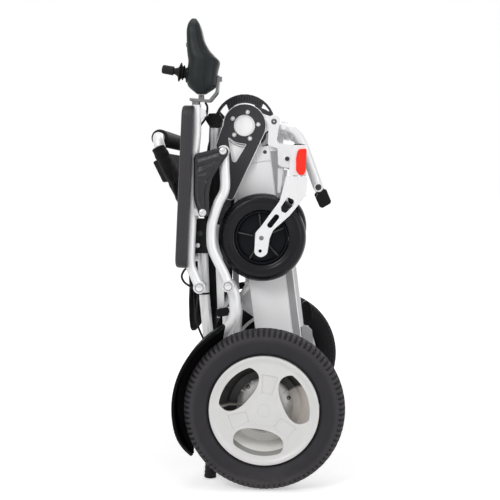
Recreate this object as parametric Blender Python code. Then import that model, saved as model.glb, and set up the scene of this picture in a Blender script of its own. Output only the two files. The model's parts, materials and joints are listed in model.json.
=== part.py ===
"""Folding bariatric power wheelchair, folded flat and standing on its drive wheels and two rubber feet.

Metres, +Z up, +X towards the chair's underside, +Y towards its left side, floor at Z = 0.
The origin is on the floor below the middle of the drive axle. In use the chair is laid down so that
+Z points forwards and -X points up. Sides: right is -Y (with the joystick), left is +Y.
"""
import math

import bmesh
import bpy
from mathutils import Matrix, Vector

# Gaps
SEAT_GAP = 0.0003
RUN_GAP = 0.0005
PIN_GAP = 0.0003

# Drive wheels and motors
TRACK = 0.660
TYRE_R = 0.159
TYRE_WIDTH = 0.062
BEAD_R = 0.109
RIM_WALL = 0.0085
RIM_DISC = 0.0070
HUB_R = 0.026
WHEEL_STEPS = 26
SHAFT_R = 0.010
MOTOR_R = 0.068
MOTOR_LENGTH = 0.072
MOTOR_TO_TYRE = 0.007
WINDOW_RING_R = 0.0645
WINDOW_LONG = 0.0495
WINDOW_SHORT = 0.0268
WINDOW_ANGLES = (20.0, 140.0, 260.0)

# Tubes and pivots of the folding frame
UPRIGHT_R = 0.012
BACK_R = 0.011
SEAT_R = 0.011
ARM_R = 0.010
HANGER_R = 0.010
CROSS_R = 0.0125
PIN_R = 0.0045
EYE_R = 0.0125
EYE_TRIM = 0.0004
PLATE = 0.0045

# Sideways layers, from the tyres inwards
WHEEL_Y = TRACK / 2
TYRE_INNER_Y = WHEEL_Y - TYRE_WIDTH / 2
MOTOR_OUTER_Y = TYRE_INNER_Y - MOTOR_TO_TYRE
MOTOR_INNER_Y = MOTOR_OUTER_Y - MOTOR_LENGTH
ARM_Y = TYRE_INNER_Y - RUN_GAP - ARM_R
UPRIGHT_Y = ARM_Y - ARM_R - 0.0015 - UPRIGHT_R
BACK_Y = UPRIGHT_Y - UPRIGHT_R - 0.0025 - BACK_R
SEAT_Y = BACK_Y - BACK_R - 0.0025 - SEAT_R
BOX_OUTER_Y = MOTOR_INNER_Y - SEAT_GAP

# Points of the folded chair, seen from its right side as (X, Z)
AXLE = (0.0, TYRE_R)
BACK_PIVOT = (-0.1120, 0.0550)
SEAT_PIVOT = (-0.1165, 0.2700)
LINK_PIVOT = (-0.0937, 0.3385)
LINK_TOP = (-0.1000, 0.5100)
ARM_PIVOT = (-0.1315, 0.3938)
STAY_PIVOT = (-0.0740, 0.3970)
GUARD_PIVOT = (-0.0828, 0.6655)
GUARD_BOLT = (-0.1235, 0.5440)
LEG_PIVOT = (0.0150, 0.7265)
LEG_BOLT = (0.0420, 0.6512)
FRONT_TUBE = (-0.0450, 0.7187)
RECLINE_PIVOT = (-0.1345, 0.5000)
CASTER_AXLE = (-0.0085, 0.4922)
FOOTPLATE_PIVOT = (0.1057, 0.5935)
SWIVEL_LOW = (0.0629, 0.6173)
SWIVEL_HIGH = (0.0671, 0.6783)

# Chassis
RAIL_WIDE = 0.030
RAIL_THICK = 0.025
FRONT_TUBE_R = 0.020
REAR_TUBE_R = 0.020
UPRIGHT_PATH = ((-0.0740, 0.4000), (-0.0640, 0.3780), (-0.0612, 0.3300), (-0.0905, 0.2890), (-0.1110, 0.0360))
UPRIGHT_BRACE = (-0.0610, 0.3450)
BRACE_R = 0.010
FOOT_R = 0.0125
FOOT_HIGH = 0.036
MOTOR_PLATE = 0.0090
FENDER_STUDS = ((-0.0905, 0.2900), (-0.1235, 0.1900))
STUD_R = 0.0045

# Battery boxes
BOX_LENGTH = 0.432
BOX_DEEP = 0.0700
BOX_WIDE = 0.0760
BOX_TILT = math.radians(7.3)
BOX_TOP_RIGHT = (0.0045, 0.6785)
STRIP_WIDE = 0.0155
STRIP_DROP = 0.0012
LID_LINE = 0.0300

# Ring plates and lifting grips
RING_R = 0.0433
RING_HOLE_R = 0.0210
RING_BOLT_CIRCLE_R = 0.0280
RING_BOLT_R = 0.0050
GRIP_R = 0.0640
GRIP_BAND = 0.0170
GRIP_WIDE = 0.0190
GRIP_CENTRE = (-0.0470, 0.7207)
GRIP_RIB_PITCH = 0.0055

# Front legs, casters and footrest
BARREL_DEEP = 0.0300
STEM_R = 0.0080
CASTER_R = 0.0895
CASTER_WIDTH = 0.0430
CASTER_HUB_R = 0.0545
FORK_PLATE = 0.0030
FORK_INNER_GAP = 0.0025
HANGER_START = (0.0349, 0.7160)
HANGER_PATH = (HANGER_START, (0.0580, 0.7110), (0.0757, 0.6760), FOOTPLATE_PIVOT)
FOOTPLATE_LONG = 0.1050
FOOTPLATE_THICK = 0.0150
FOOTPLATE_TAIL = 0.0340

# Back
BACK_PATH = (BACK_PIVOT, (-0.1198, 0.2920), (-0.1272, 0.3712), (-0.1312, 0.4860))
BRACE_LOW = (-0.1300, 0.4500)
BRACE_BACK_X = -0.1720
BRACE_BEND = 0.0140
BACK_BRACE_R = 0.0080
UPPER_BEND = (-0.2100, 0.6530)
PUSH_BAR = (-0.2232, 0.6957)
UPPER_BEND_R = 0.0350
GRIP_FOAM_R = 0.0175
BLOCK_IN = 0.0140
BLOCK_OUT = 0.0160
BUTTON_PLACE = (-0.1385, 0.4760)
BUTTON_R = 0.0050
BUTTON_RECESS = 0.0034
BUTTON_TRAVEL = 0.0020
UPPER_PAD_START = 0.0500
UPPER_PAD_END = 0.1800
UPPER_PAD_HALF_WIDE = BACK_Y + 0.0190
UPPER_PAD_THICK = 0.0306
LOWER_PAD_LOW = (-0.1542, 0.2900)
LOWER_PAD_TOP = (-0.1542, 0.4900)
LOWER_PAD_HALF_WIDE = BACK_Y - 0.0145
LOWER_PAD_THICK = 0.0195
STRAP_SPAN = (0.1270, 0.1760)
STRAP_THICK = 0.0140
STRAP_HALF_WIDE = BACK_Y - 0.0295

# Seat
SEAT_TOP = (-0.1047, 0.7148)
SEAT_CROSS_AT = (0.0600, 0.3800)
SEAT_CROSS_OFF = 0.0125
SEAT_CROSS_R = 0.0080
SEAT_PAD_START = 0.0150
SEAT_PAD_LONG = 0.4150
SEAT_PAD_HALF_WIDE = SEAT_Y - SEAT_R - 0.0010
SEAT_PAD_THICK = 0.0330
SEAT_PAD_OUT = 0.0089
LINK_WIDE = 0.0150
LINK_THICK = 0.0040

# Arms
ARM_PATH = ((-0.1374, 0.7570), (-0.1376, 0.7000), (-0.1408, 0.6680), (-0.1512, 0.4560), (-0.1500, 0.4360), ARM_PIVOT)
STAY_PATH = (GUARD_PIVOT, (-0.0815, 0.6340), (-0.0810, 0.5900), (-0.0940, 0.5615), (-0.1055, 0.5260),
             (-0.1082, 0.4992), (-0.1062, 0.4728), (-0.0945, 0.4456), (-0.0812, 0.4187), STAY_PIVOT)
PAD_LOW = (-0.1552, 0.4329)
PAD_HIGH = (-0.1397, 0.7547)
PAD_WIDE = 0.0560
PAD_THICK = 0.0240
GUARD_THICK = 0.0080
GUARD_OUTLINE = ((-0.0832, 0.6735), (-0.0722, 0.6656), (-0.0745, 0.6560), (-0.0895, 0.6360), (-0.1053, 0.6110),
                 (-0.1117, 0.5828), (-0.1112, 0.5451), (-0.1166, 0.5357), (-0.1292, 0.5356), (-0.1339, 0.5482),
                 (-0.1417, 0.5733), (-0.1415, 0.6297), (-0.1414, 0.6516), (-0.1335, 0.6610))

# Joystick
POD_Y = ARM_Y + 0.0115
POD_FACE = (-0.1522, 0.8174)
POD_SECTIONS = ((0.7775, -0.1350, -0.1180, 0.020), (0.7900, -0.1495, -0.0985, 0.029), (0.8000, -0.1528, -0.0960, 0.033),
                (0.8200, -0.1522, -0.0937, 0.033), (0.8394, -0.1502, -0.0898, 0.033), (0.8500, -0.1512, -0.0985, 0.032),
                (0.8620, -0.1524, -0.1090, 0.029), (0.8800, -0.1528, -0.1190, 0.026), (0.9000, -0.1530, -0.1240, 0.023),
                (0.9140, -0.1500, -0.1287, 0.017), (0.9230, -0.1440, -0.1350, 0.008))
STICK_TILT = math.radians(10.0)
STICK_LONG = 0.0520
KNOB_R = 0.0085
WELL_R = 0.0145
WELL_DEEP = 0.0140
GIMBAL_DEEP = 0.0065
GIMBAL_R = 0.0120
GIMBAL_BORE = 0.0070
KEY_FACE_X = -0.1526
KEY_UP = 0.0546
KEY_Z = POD_FACE[1] + KEY_UP
KEY_R = 0.0045
KEY_SPREAD = 0.0100
KEY_DEEP = 0.0030
KEY_TRAVEL = 0.0015
BRACKET_THICK = 0.0050

# Control lead, (X, distance outside the armrest tube's middle, Z), starting below the joystick
LEAD_R = 0.0022
LEAD_UPPER = ((-0.1180, 0.0065, 0.7600), (-0.1160, -0.0085, 0.7520), (-0.1200, -0.0135, 0.7320),
              (-0.1340, -0.0129, 0.7100), (-0.1378, -0.0128, 0.6800), (-0.1400, -0.0128, 0.6400),
              (-0.1430, -0.0128, 0.5800), (-0.1462, -0.0128, 0.5150), (-0.1490, -0.0128, 0.4600),
              (-0.1530, -0.0135, 0.4365), (-0.1640, -0.0140, 0.4270), (-0.1695, -0.0143, 0.4140),
              (-0.1635, -0.0143, 0.4015), (-0.1490, -0.0141, 0.3920))
LEAD_LOWER = ((-0.1478, -0.0141, 0.3913), (-0.1400, -0.0145, 0.3850), (-0.1365, -0.0160, 0.3760),
              (-0.1380, -0.0205, 0.3640), (-0.1415, -0.0265, 0.3440), (-0.1420, -0.0295, 0.3230),
              (-0.1330, -0.0315, 0.2960), (-0.1230, -0.0330, 0.2750), (-0.1192, -0.0355, 0.2660))

SIDES = {"right": -1, "left": 1}


def clear_scene():
    for item in list(bpy.data.objects):
        bpy.data.objects.remove(item, do_unlink=True)


def paint(name, colour, roughness, metallic):
    """One Principled material."""
    material = bpy.data.materials.new(name)
    material.use_nodes = True
    shader = material.node_tree.nodes["Principled BSDF"]
    shader.inputs["Base Color"].default_value = (*colour, 1.0)
    shader.inputs["Roughness"].default_value = roughness
    shader.inputs["Metallic"].default_value = metallic
    return material


FINISHES = {
    "silver": ((0.80, 0.80, 0.82), 0.32, 0.60),
    "grey": ((0.30, 0.30, 0.31), 0.45, 0.20),
    "charcoal": ((0.055, 0.055, 0.060), 0.50, 0.0),
    "black": ((0.015, 0.015, 0.017), 0.45, 0.0),
    "rubber": ((0.030, 0.030, 0.032), 0.80, 0.0),
    "fabric": ((0.025, 0.025, 0.028), 0.90, 0.0),
    "vinyl": ((0.085, 0.085, 0.095), 0.55, 0.0),
    "reflector": ((0.95, 0.09, 0.03), 0.25, 0.0),
}


def face_out(mesh):
    """Make all faces of a closed bmesh look outwards."""
    bmesh.ops.recalc_face_normals(mesh, faces=mesh.faces)
    if mesh.calc_volume(signed=True) < 0:
        bmesh.ops.reverse_faces(mesh, faces=mesh.faces)


def add_object(name, mesh, finish, smooth=True):
    """Turn a bmesh into a named object with its own material."""
    data = bpy.data.meshes.new(name)
    face_out(mesh)
    mesh.to_mesh(data)
    mesh.free()
    item = bpy.data.objects.new(name, data)
    bpy.context.scene.collection.objects.link(item)
    data.materials.append(paint(name, *FINISHES[finish]))
    if smooth:
        data.shade_smooth()
        data.set_sharp_from_angle(angle=math.radians(35))
    return item


def replace_mesh(item):
    """Make an object's modifiers permanent."""
    graph = bpy.context.evaluated_depsgraph_get()
    result = bpy.data.meshes.new_from_object(item.evaluated_get(graph))
    old = item.data
    item.modifiers.clear()
    item.data = result
    bpy.data.meshes.remove(old)


def combine(item, tool_mesh, operation):
    """Join a bmesh to an object, or cut it away, with an exact Boolean."""
    data = bpy.data.meshes.new("tool")
    face_out(tool_mesh)
    tool_mesh.to_mesh(data)
    tool_mesh.free()
    tool = bpy.data.objects.new("tool", data)
    bpy.context.scene.collection.objects.link(tool)
    modifier = item.modifiers.new("Shape", "BOOLEAN")
    modifier.operation = operation
    modifier.object = tool
    replace_mesh(item)
    bpy.data.objects.remove(tool, do_unlink=True)
    bpy.data.meshes.remove(data)


def union(item, *meshes):
    for mesh in meshes:
        combine(item, mesh, "UNION")


def cut(item, *meshes):
    for mesh in meshes:
        combine(item, mesh, "DIFFERENCE")


def soften(item, width, segments=2, angle=40.0):
    """Round an object's sharp edges."""
    modifier = item.modifiers.new("Edges", "BEVEL")
    modifier.width = width
    modifier.segments = segments
    modifier.limit_method = "ANGLE"
    modifier.angle_limit = math.radians(angle)
    replace_mesh(item)


JOINTS = {}


def add_joint(name, place, parent=None):
    """An empty on a joint's axis, which carries the pieces that turn or slide with it."""
    empty = bpy.data.objects.new("joint_" + name, None)
    empty.empty_display_size = 0.03
    bpy.context.scene.collection.objects.link(empty)
    base = Vector((0, 0, 0))
    if parent:
        empty.parent = JOINTS[parent][0]
        base = JOINTS[parent][1]
    place = Vector(place)
    empty.location = place - base
    JOINTS[name] = (empty, place)


def carry(item, joint):
    """Put an object's origin on its joint and parent it there."""
    empty, place = JOINTS[joint]
    item.data.transform(Matrix.Translation(-place))
    item.parent = empty


def arc(centre, radius, start, end, steps):
    """Points (X, Z) of an arc, angles in degrees, counter-clockwise from +X towards +Z."""
    points = []
    for i in range(steps + 1):
        angle = math.radians(start + (end - start) * i / steps)
        points.append((centre[0] + radius * math.cos(angle), centre[1] + radius * math.sin(angle)))
    return points


def circle(centre, radius, steps=24):
    return arc(centre, radius, 0, 360, steps)[:-1]


def ellipse(centre, long, short, turn, steps=20, power=2.4):
    """A closed oval, a little squarer than an ellipse, its long axis turned by the angle in degrees."""
    points = []
    angle = math.radians(turn)
    for i in range(steps):
        t = 2 * math.pi * i / steps
        c = math.copysign(abs(math.cos(t)) ** (2 / power), math.cos(t)) * long
        s = math.copysign(abs(math.sin(t)) ** (2 / power), math.sin(t)) * short
        points.append((centre[0] + c * math.cos(angle) - s * math.sin(angle),
                       centre[1] + c * math.sin(angle) + s * math.cos(angle)))
    return points


def corner_arc(before, corner, after, radius, steps):
    """Points of an arc that rounds one corner of a path, no larger than its sides allow."""
    back = before - corner
    ahead = after - corner
    half = back.angle(ahead) / 2
    if radius <= 0 or half > math.radians(89):
        return [corner]
    reach = min(radius / math.tan(half), 0.48 * min(back.length, ahead.length))
    middle = (back.normalized() + ahead.normalized()).normalized() * reach / math.cos(half)
    first = back.normalized() * reach - middle
    last = ahead.normalized() * reach - middle
    sweep = first.angle(last)
    points = []
    for k in range(steps + 1):
        share = k / steps
        spoke = first * math.sin((1 - share) * sweep) + last * math.sin(share * sweep)
        points.append(corner + middle + spoke / math.sin(sweep))
    return points


def rounded(points, radius, steps=2):
    """A closed outline with its corners turned into arcs; radius is one number or one per corner."""
    points = [Vector(p) for p in points]
    count = len(points)
    radii = list(radius) if isinstance(radius, (list, tuple)) else [radius] * count
    result = []
    for i in range(count):
        result += corner_arc(points[i - 1], points[i], points[(i + 1) % count], radii[i], steps)
    return [tuple(point) for point in result]


def bent(points, radius, steps=5):
    """A path with its corners bent to arcs of the given radius."""
    points = [Vector(p) for p in points]
    path = [points[0]]
    for i in range(1, len(points) - 1):
        path += corner_arc(points[i - 1], points[i], points[i + 1], radius, steps)
    path.append(points[-1])
    return path


def lobe(start, end, start_r, end_r, steps=5):
    """Outline of a link: two round ends joined by their common tangents."""
    a = Vector(start)
    b = Vector(end)
    axis = math.degrees(math.atan2(b.y - a.y, b.x - a.x))
    lean = math.degrees(math.acos((start_r - end_r) / (b - a).length))
    near = arc(start, start_r, axis + lean, axis + 360 - lean, steps)
    far = arc(end, end_r, axis - lean, axis + lean, steps)
    return near + far


def prism(outline, low, high, holes=()):
    """A flat outline (X, Z) given thickness along Y, with any holes left open."""
    mesh = bmesh.new()
    low, high = min(low, high), max(low, high)
    edges = []
    for loop in [outline, *holes]:
        ring = [mesh.verts.new((x, low, z)) for x, z in loop]
        edges += [mesh.edges.new((ring[i], ring[i - 1])) for i in range(len(ring))]
    bmesh.ops.triangle_fill(mesh, use_beauty=True, edges=edges)
    grown = bmesh.ops.extrude_face_region(mesh, geom=list(mesh.faces))
    moved = [v for v in grown["geom"] if isinstance(v, bmesh.types.BMVert)]
    bmesh.ops.translate(mesh, verts=moved, vec=(0, high - low, 0))
    return mesh


def skin(mesh, rings, closed):
    """Faces between rings of points; a ring of one point is a tip."""
    count = len(rings)
    spans = count if closed else count - 1
    for i in range(spans):
        a = rings[i]
        b = rings[(i + 1) % count]
        size = max(len(a), len(b))
        for k in range(size):
            n = (k + 1) % size
            if len(a) == 1:
                mesh.faces.new((a[0], b[k], b[n]))
            elif len(b) == 1:
                mesh.faces.new((a[k], b[0], a[n]))
            else:
                mesh.faces.new((a[k], b[k], b[n], a[n]))


def lathe(profile, steps, closed=False, place=(0, 0, 0), scale=None, half_step=False):
    """A profile of (radius, Y) points turned about the Y axis, then moved to its place.

    scale gives a radius factor for each profile point and step, for lugs and flutes.
    """
    mesh = bmesh.new()
    rings = []
    shift = 0.5 if half_step else 0.0
    for j, (radius, y) in enumerate(profile):
        if radius <= 0:
            rings.append([mesh.verts.new((0, y, 0))])
            continue
        ring = []
        for i in range(steps):
            angle = 2 * math.pi * (i + shift) / steps - math.pi / 2
            size = radius * (scale(j, i) if scale else 1.0)
            ring.append(mesh.verts.new((size * math.cos(angle), y, size * math.sin(angle))))
        rings.append(ring)
    skin(mesh, rings, closed)
    bmesh.ops.translate(mesh, verts=mesh.verts, vec=place)
    return mesh


def rod(centre, radius, low, high, steps=10):
    """A round bar along Y through the point (X, Z)."""
    low, high = min(low, high), max(low, high)
    return lathe([(0, low), (radius, low), (radius, high), (0, high)], steps, place=(centre[0], 0, centre[1]))


def smooth(points, spans=2):
    """A smooth curve through the points, with the given number of steps between neighbours."""
    points = [Vector(p) for p in points]
    padded = [2 * points[0] - points[1], *points, 2 * points[-1] - points[-2]]
    path = []
    for i in range(1, len(padded) - 2):
        a, b, c, d = padded[i - 1:i + 3]
        for k in range(spans):
            t = k / spans
            path.append(0.5 * (2 * b + (c - a) * t + (2 * a - 5 * b + 4 * c - d) * t * t
                               + (3 * b - a - 3 * c + d) * t ** 3))
    path.append(points[-1])
    return path


def frames(path):
    """Tangent and two normals at each point of a path, carried along without twist."""
    tangents = []
    for i in range(len(path)):
        ahead = path[min(i + 1, len(path) - 1)] - path[i]
        behind = path[i] - path[max(i - 1, 0)]
        tangents.append((ahead.normalized() + behind.normalized()).normalized())
    normal = tangents[0].orthogonal().normalized()
    if abs(tangents[0].y) < 0.9:
        normal = (Vector((0, 1, 0)) - tangents[0] * tangents[0].y).normalized()
    result = []
    for tangent in tangents:
        normal = (normal - tangent * normal.dot(tangent)).normalized()
        result.append((tangent, normal, tangent.cross(normal)))
    return result


def path_rings(mesh, path, radius, sides):
    rings = []
    for i, (point, (tangent, first, second)) in enumerate(zip(path, frames(path))):
        size = radius(i) if callable(radius) else radius
        ring = []
        for k in range(sides):
            angle = 2 * math.pi * k / sides
            ring.append(mesh.verts.new(point + (first * math.cos(angle) + second * math.sin(angle)) * size))
        rings.append(ring)
    return rings


def tube(path, radius, sides=14):
    """A solid round bar along a path, with flat ends."""
    mesh = bmesh.new()
    rings = path_rings(mesh, path, radius, sides)
    skin(mesh, rings, False)
    mesh.faces.new(rings[0])
    mesh.faces.new(rings[-1])
    return mesh


def sleeve(path, outer, inner, sides=14):
    """A hollow round sleeve along a path, open at both ends."""
    mesh = bmesh.new()
    outside = path_rings(mesh, path, outer, sides)
    inside = path_rings(mesh, path, inner, sides)
    skin(mesh, outside + inside[::-1], True)
    return mesh


def flat(points, side, y):
    """Points (X, Z) put at one distance from the middle plane."""
    return [(x, side * y, z) for x, z in points]


def joined(a, b, share):
    return (a[0] + (b[0] - a[0]) * share, a[1] + (b[1] - a[1]) * share)


def along(start, end, distance, offset=0.0):
    """A point at a distance along a line and an offset to its left (towards -X on an upright line)."""
    a = Vector(start)
    step = (Vector(end) - a).normalized()
    left = Vector((-step.y, step.x))
    return tuple(a + step * distance + left * offset)


# Drive wheels

def tyre_profile():
    """Half section of the tyre, (radius, sideways), from the bead over the shoulder to the crown."""
    half = TYRE_WIDTH / 2
    crown = TYRE_R / math.cos(math.pi / WHEEL_STEPS)
    wall = TYRE_R - BEAD_R
    return [(BEAD_R, 0.58 * half), (BEAD_R + 0.12 * wall, 0.82 * half), (BEAD_R + 0.34 * wall, 0.98 * half),
            (BEAD_R + 0.60 * wall, half), (BEAD_R + 0.82 * wall, 0.90 * half),
            (BEAD_R + 0.945 * wall, 0.64 * half), (crown, 0.24 * half)]


def make_tyre(side_name):
    side = SIDES[side_name]
    half = tyre_profile()
    profile = half + [(radius, -y) for radius, y in reversed(half)]
    shoulders = (4, 5, len(profile) - 5, len(profile) - 6)

    def lug(j, i):
        return 0.984 if j in shoulders and i % 2 else 1.0

    mesh = lathe(profile, WHEEL_STEPS, True, (AXLE[0], side * WHEEL_Y, AXLE[1]), lug, True)
    carry(add_object("drive_tyre_" + side_name, mesh, "rubber"), "wheel_" + side_name)


def make_rim(side_name):
    """Cast rim: barrel, disc with three oval windows, spokes with sunk panels and a hub for the shaft."""
    side = SIDES[side_name]
    half = TYRE_WIDTH / 2
    outer = BEAD_R * math.cos(math.pi / WHEEL_STEPS) - SEAT_GAP
    inner = outer - RIM_WALL
    face = 0.76 * half
    lip = 0.85 * half
    hub_in = MOTOR_OUTER_Y - WHEEL_Y + 0.004
    profile = [(0, face + 0.003), (HUB_R, face + 0.003), (HUB_R + 0.004, face), (inner - 0.003, face),
               (inner + 0.001, lip), (outer, lip), (outer, -lip), (inner + 0.001, -lip),
               (inner, face - RIM_DISC), (HUB_R + 0.004, face - RIM_DISC), (HUB_R, face - RIM_DISC - 0.003),
               (HUB_R, hub_in), (SHAFT_R + PIN_GAP, hub_in), (SHAFT_R + PIN_GAP, face - RIM_DISC), (0, face - RIM_DISC)]
    profile = [(radius, side * y) for radius, y in profile]
    rim = add_object("drive_rim_" + side_name, lathe(profile, 22), "silver")
    for angle in WINDOW_ANGLES:
        turn = math.radians(angle)
        centre = (WINDOW_RING_R * math.cos(turn), WINDOW_RING_R * math.sin(turn))
        window = ellipse(centre, WINDOW_LONG, WINDOW_SHORT, angle + 90, 12)
        cut(rim, prism(window, side * (face + 0.010), side * (face - RIM_DISC - 0.010)))
        panel_turn = angle + 60
        panel = [(0.034, -0.0105), (0.070, -0.0155), (0.070, 0.0155), (0.034, 0.0105)]
        spun = [tuple(Matrix.Rotation(math.radians(panel_turn), 2) @ Vector(p)) for p in panel]
        cut(rim, prism(rounded(spun, 0.002, 2), side * (face - 0.0012), side * (face + 0.010)))
    rim.data.transform(Matrix.Translation((AXLE[0], side * WHEEL_Y, AXLE[1])))
    carry(rim, "wheel_" + side_name)


def make_motor(side_name):
    """Hub motor housing with stepped ends, and the shaft that carries the wheel."""
    side = SIDES[side_name]
    inner = MOTOR_INNER_Y
    outer = MOTOR_OUTER_Y
    shaft = WHEEL_Y + 0.76 * TYRE_WIDTH / 2 - RIM_DISC - 0.001
    profile = [(0, inner), (MOTOR_R - 0.020, inner), (MOTOR_R - 0.008, inner + 0.006), (MOTOR_R - 0.006, inner + 0.012),
               (MOTOR_R, inner + 0.014), (MOTOR_R, outer - 0.022), (MOTOR_R - 0.006, outer - 0.016),
               (MOTOR_R - 0.010, outer - 0.006), (0.040, outer), (SHAFT_R + 0.008, outer),
               (SHAFT_R + 0.006, outer + 0.0035), (SHAFT_R, outer + 0.0035), (SHAFT_R, shaft), (0, shaft)]
    profile = [(radius, side * y) for radius, y in profile]
    add_object("motor_" + side_name, lathe(profile, 16, place=(AXLE[0], 0, AXLE[1])), "silver")


FENDER_R = 0.1820
FENDER_WALL = 0.0040
FENDER_START = 117.0
FENDER_END = 215.0
FENDER_FLANGE_R = 0.1490


def make_fender(side_name):
    """Mudguard: a shell over the tread with an inner flange, both tapering to its ends."""
    side = SIDES[side_name]
    inner_y = MOTOR_OUTER_Y
    outer_y = WHEEL_Y + 0.90 * TYRE_WIDTH / 2
    steps = 18
    mesh = bmesh.new()
    rings = []
    for i in range(steps + 1):
        share = i / steps
        angle = math.radians(FENDER_START + (FENDER_END - FENDER_START) * share)
        taper = min(1.0, min(share, 1 - share) * 8.0)
        bloom = math.sin(math.pi / 2 * taper)
        flange = FENDER_R - FENDER_WALL - (FENDER_R - FENDER_WALL - FENDER_FLANGE_R) * bloom - 0.002
        far = inner_y + 0.020 + (outer_y - inner_y - 0.020) * bloom
        section = [(FENDER_R, inner_y), (FENDER_R, far - 0.004), (FENDER_R - 0.003, far),
                   (FENDER_R - FENDER_WALL - 0.003, far), (FENDER_R - FENDER_WALL, far - 0.004),
                   (FENDER_R - FENDER_WALL, inner_y + FENDER_WALL), (flange, inner_y + FENDER_WALL),
                   (flange, inner_y)]
        rings.append([mesh.verts.new((AXLE[0] + r * math.cos(angle), side * y, AXLE[1] + r * math.sin(angle)))
                      for r, y in section])
    skin(mesh, rings, False)
    mesh.faces.new(rings[0])
    mesh.faces.new(rings[-1])
    add_object("fender_" + side_name, mesh, "black")


# Chassis

def upright_path(side):
    return bent(flat(UPRIGHT_PATH, side, UPRIGHT_Y), 0.030, 1)


def motor_plate_outline():
    """Plate on the inner face of the motor: a disc, an arm to the upright and an arm to the box bracket."""
    x, z = AXLE
    left = arc(AXLE, 0.050, 150, 200, 6)
    return rounded([(x + 0.050, z - 0.020), (x + 0.062, z + 0.045), (0.0970, 0.2640), (0.0930, 0.3060),
                    (0.0710, 0.3090), (0.0725, 0.2950), (0.0800, 0.2360), (x + 0.020, z + 0.052),
                    *left[:1], (-0.0850, z + 0.014), (-0.1015, z + 0.014), (-0.1015, z - 0.014),
                    (-0.0850, z - 0.014), *left[-1:], (x, z - 0.052)], 0.010, 1)


def make_chassis():
    """Welded frame: rear and front cross tubes, two rails, motor plates, uprights, brace and pivot lugs."""
    rear = tube([Vector((AXLE[0], -MOTOR_INNER_Y + MOTOR_PLATE / 2, AXLE[1])),
                 Vector((AXLE[0], MOTOR_INNER_Y - MOTOR_PLATE / 2, AXLE[1]))], REAR_TUBE_R, 20)
    frame = add_object("chassis_frame", rear, "silver")
    lug_in = SEAT_Y + SEAT_R - 0.0035
    lug_out = BACK_Y - BACK_R + 0.0005
    union(frame, rod(FRONT_TUBE, FRONT_TUBE_R, -lug_in - 0.001, lug_in + 0.001))
    brace = rod(UPRIGHT_BRACE, BRACE_R, -UPRIGHT_Y, UPRIGHT_Y, 10)
    union(frame, brace)
    rail_in = BOX_OUTER_Y - BOX_DEEP - RUN_GAP - RAIL_THICK
    for side in SIDES.values():
        rail = [along(AXLE, FRONT_TUBE, -0.006, RAIL_WIDE / 2), along(AXLE, FRONT_TUBE, -0.006, -RAIL_WIDE / 2),
                along(FRONT_TUBE, AXLE, -0.006, RAIL_WIDE / 2), along(FRONT_TUBE, AXLE, -0.006, -RAIL_WIDE / 2)]
        union(frame, prism(rail, side * rail_in, side * (rail_in + RAIL_THICK)))
        gusset = rounded([(-0.018, 0.395), (-0.018, 0.305), (-0.054, 0.3300), (-0.069, 0.3360),
                          (-0.069, 0.3540), (-0.052, 0.3620)], 0.006, 3)
        union(frame, prism(gusset, side * (rail_in + 0.008), side * (rail_in + 0.014)))
        hub = lobe(FRONT_TUBE, LEG_PIVOT, 0.034, 0.0085)
        union(frame, prism(hub, side * lug_in, side * lug_out))
        union(frame, rod(LEG_PIVOT, PIN_R, side * (lug_in + 0.002), side * (lug_out + PLATE + 0.0022), 10))
        plate_out = MOTOR_INNER_Y - SEAT_GAP
        union(frame, prism(motor_plate_outline(), side * (plate_out - MOTOR_PLATE), side * plate_out))
        arm = rounded([(-0.0860, AXLE[1] + 0.012), (-0.1010, AXLE[1] + 0.012),
                       (-0.1010, AXLE[1] - 0.012), (-0.0860, AXLE[1] - 0.012)], 0.003, 2)
        union(frame, prism(arm, side * (plate_out - MOTOR_PLATE + 0.002), side * UPRIGHT_Y))
        union(frame, tube(upright_path(side), UPRIGHT_R, 8))
        union(frame, rod(STAY_PIVOT, EYE_R, side * (UPRIGHT_Y - UPRIGHT_R + 0.001),
                         side * (ARM_Y - ARM_R - RUN_GAP), 13))
        union(frame, rod(STAY_PIVOT, PIN_R, side * (UPRIGHT_Y + 0.003), side * (ARM_Y + ARM_R + 0.0010), 10))
        union(frame, rod(BACK_PIVOT, PIN_R, side * (UPRIGHT_Y - 0.003), side * (BACK_Y - BACK_R - 0.0012), 10))
        link = lobe(LINK_PIVOT, UPRIGHT_BRACE, 0.0085, 0.0085)
        link_y = UPRIGHT_Y - UPRIGHT_R + 0.0010
        union(frame, prism(link, side * link_y, side * (link_y + 0.005)))
        union(frame, rod(LINK_PIVOT, PIN_R, side * (link_y + 0.002), side * (SEAT_Y + SEAT_R), 10))
        outside = UPRIGHT_Y + UPRIGHT_R
        tab = lobe(FENDER_STUDS[1], (-0.0990, FENDER_STUDS[1][1]), 0.0060, 0.0065)
        union(frame, prism(tab, side * (outside - 0.0040), side * (outside + 0.0020)))
        for stud in FENDER_STUDS:
            union(frame, rod(stud, STUD_R, side * (outside - 0.0030), side * (MOTOR_OUTER_Y - SEAT_GAP), 8))


def make_foot(side_name):
    """Rubber tip in line with the upright, cut level where it stands on the floor."""
    side = SIDES[side_name]
    bottom, above = [Vector(flat([p], side, UPRIGHT_Y)[0]) for p in (UPRIGHT_PATH[-1], UPRIGHT_PATH[-2])]
    down = (bottom - above).normalized()
    path = [bottom + down * SEAT_GAP, bottom + down * FOOT_HIGH * 0.5, bottom + down * (FOOT_HIGH + 0.010)]
    foot = add_object("rubber_foot_" + side_name, tube(path, FOOT_R, 12), "rubber")
    reach = 3 * FOOT_R
    below = [(bottom.x - reach, 0), (bottom.x + reach, 0), (bottom.x + reach, -reach), (bottom.x - reach, -reach)]
    cut(foot, prism(below, side * (UPRIGHT_Y - reach), side * (UPRIGHT_Y + reach)))


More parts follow.
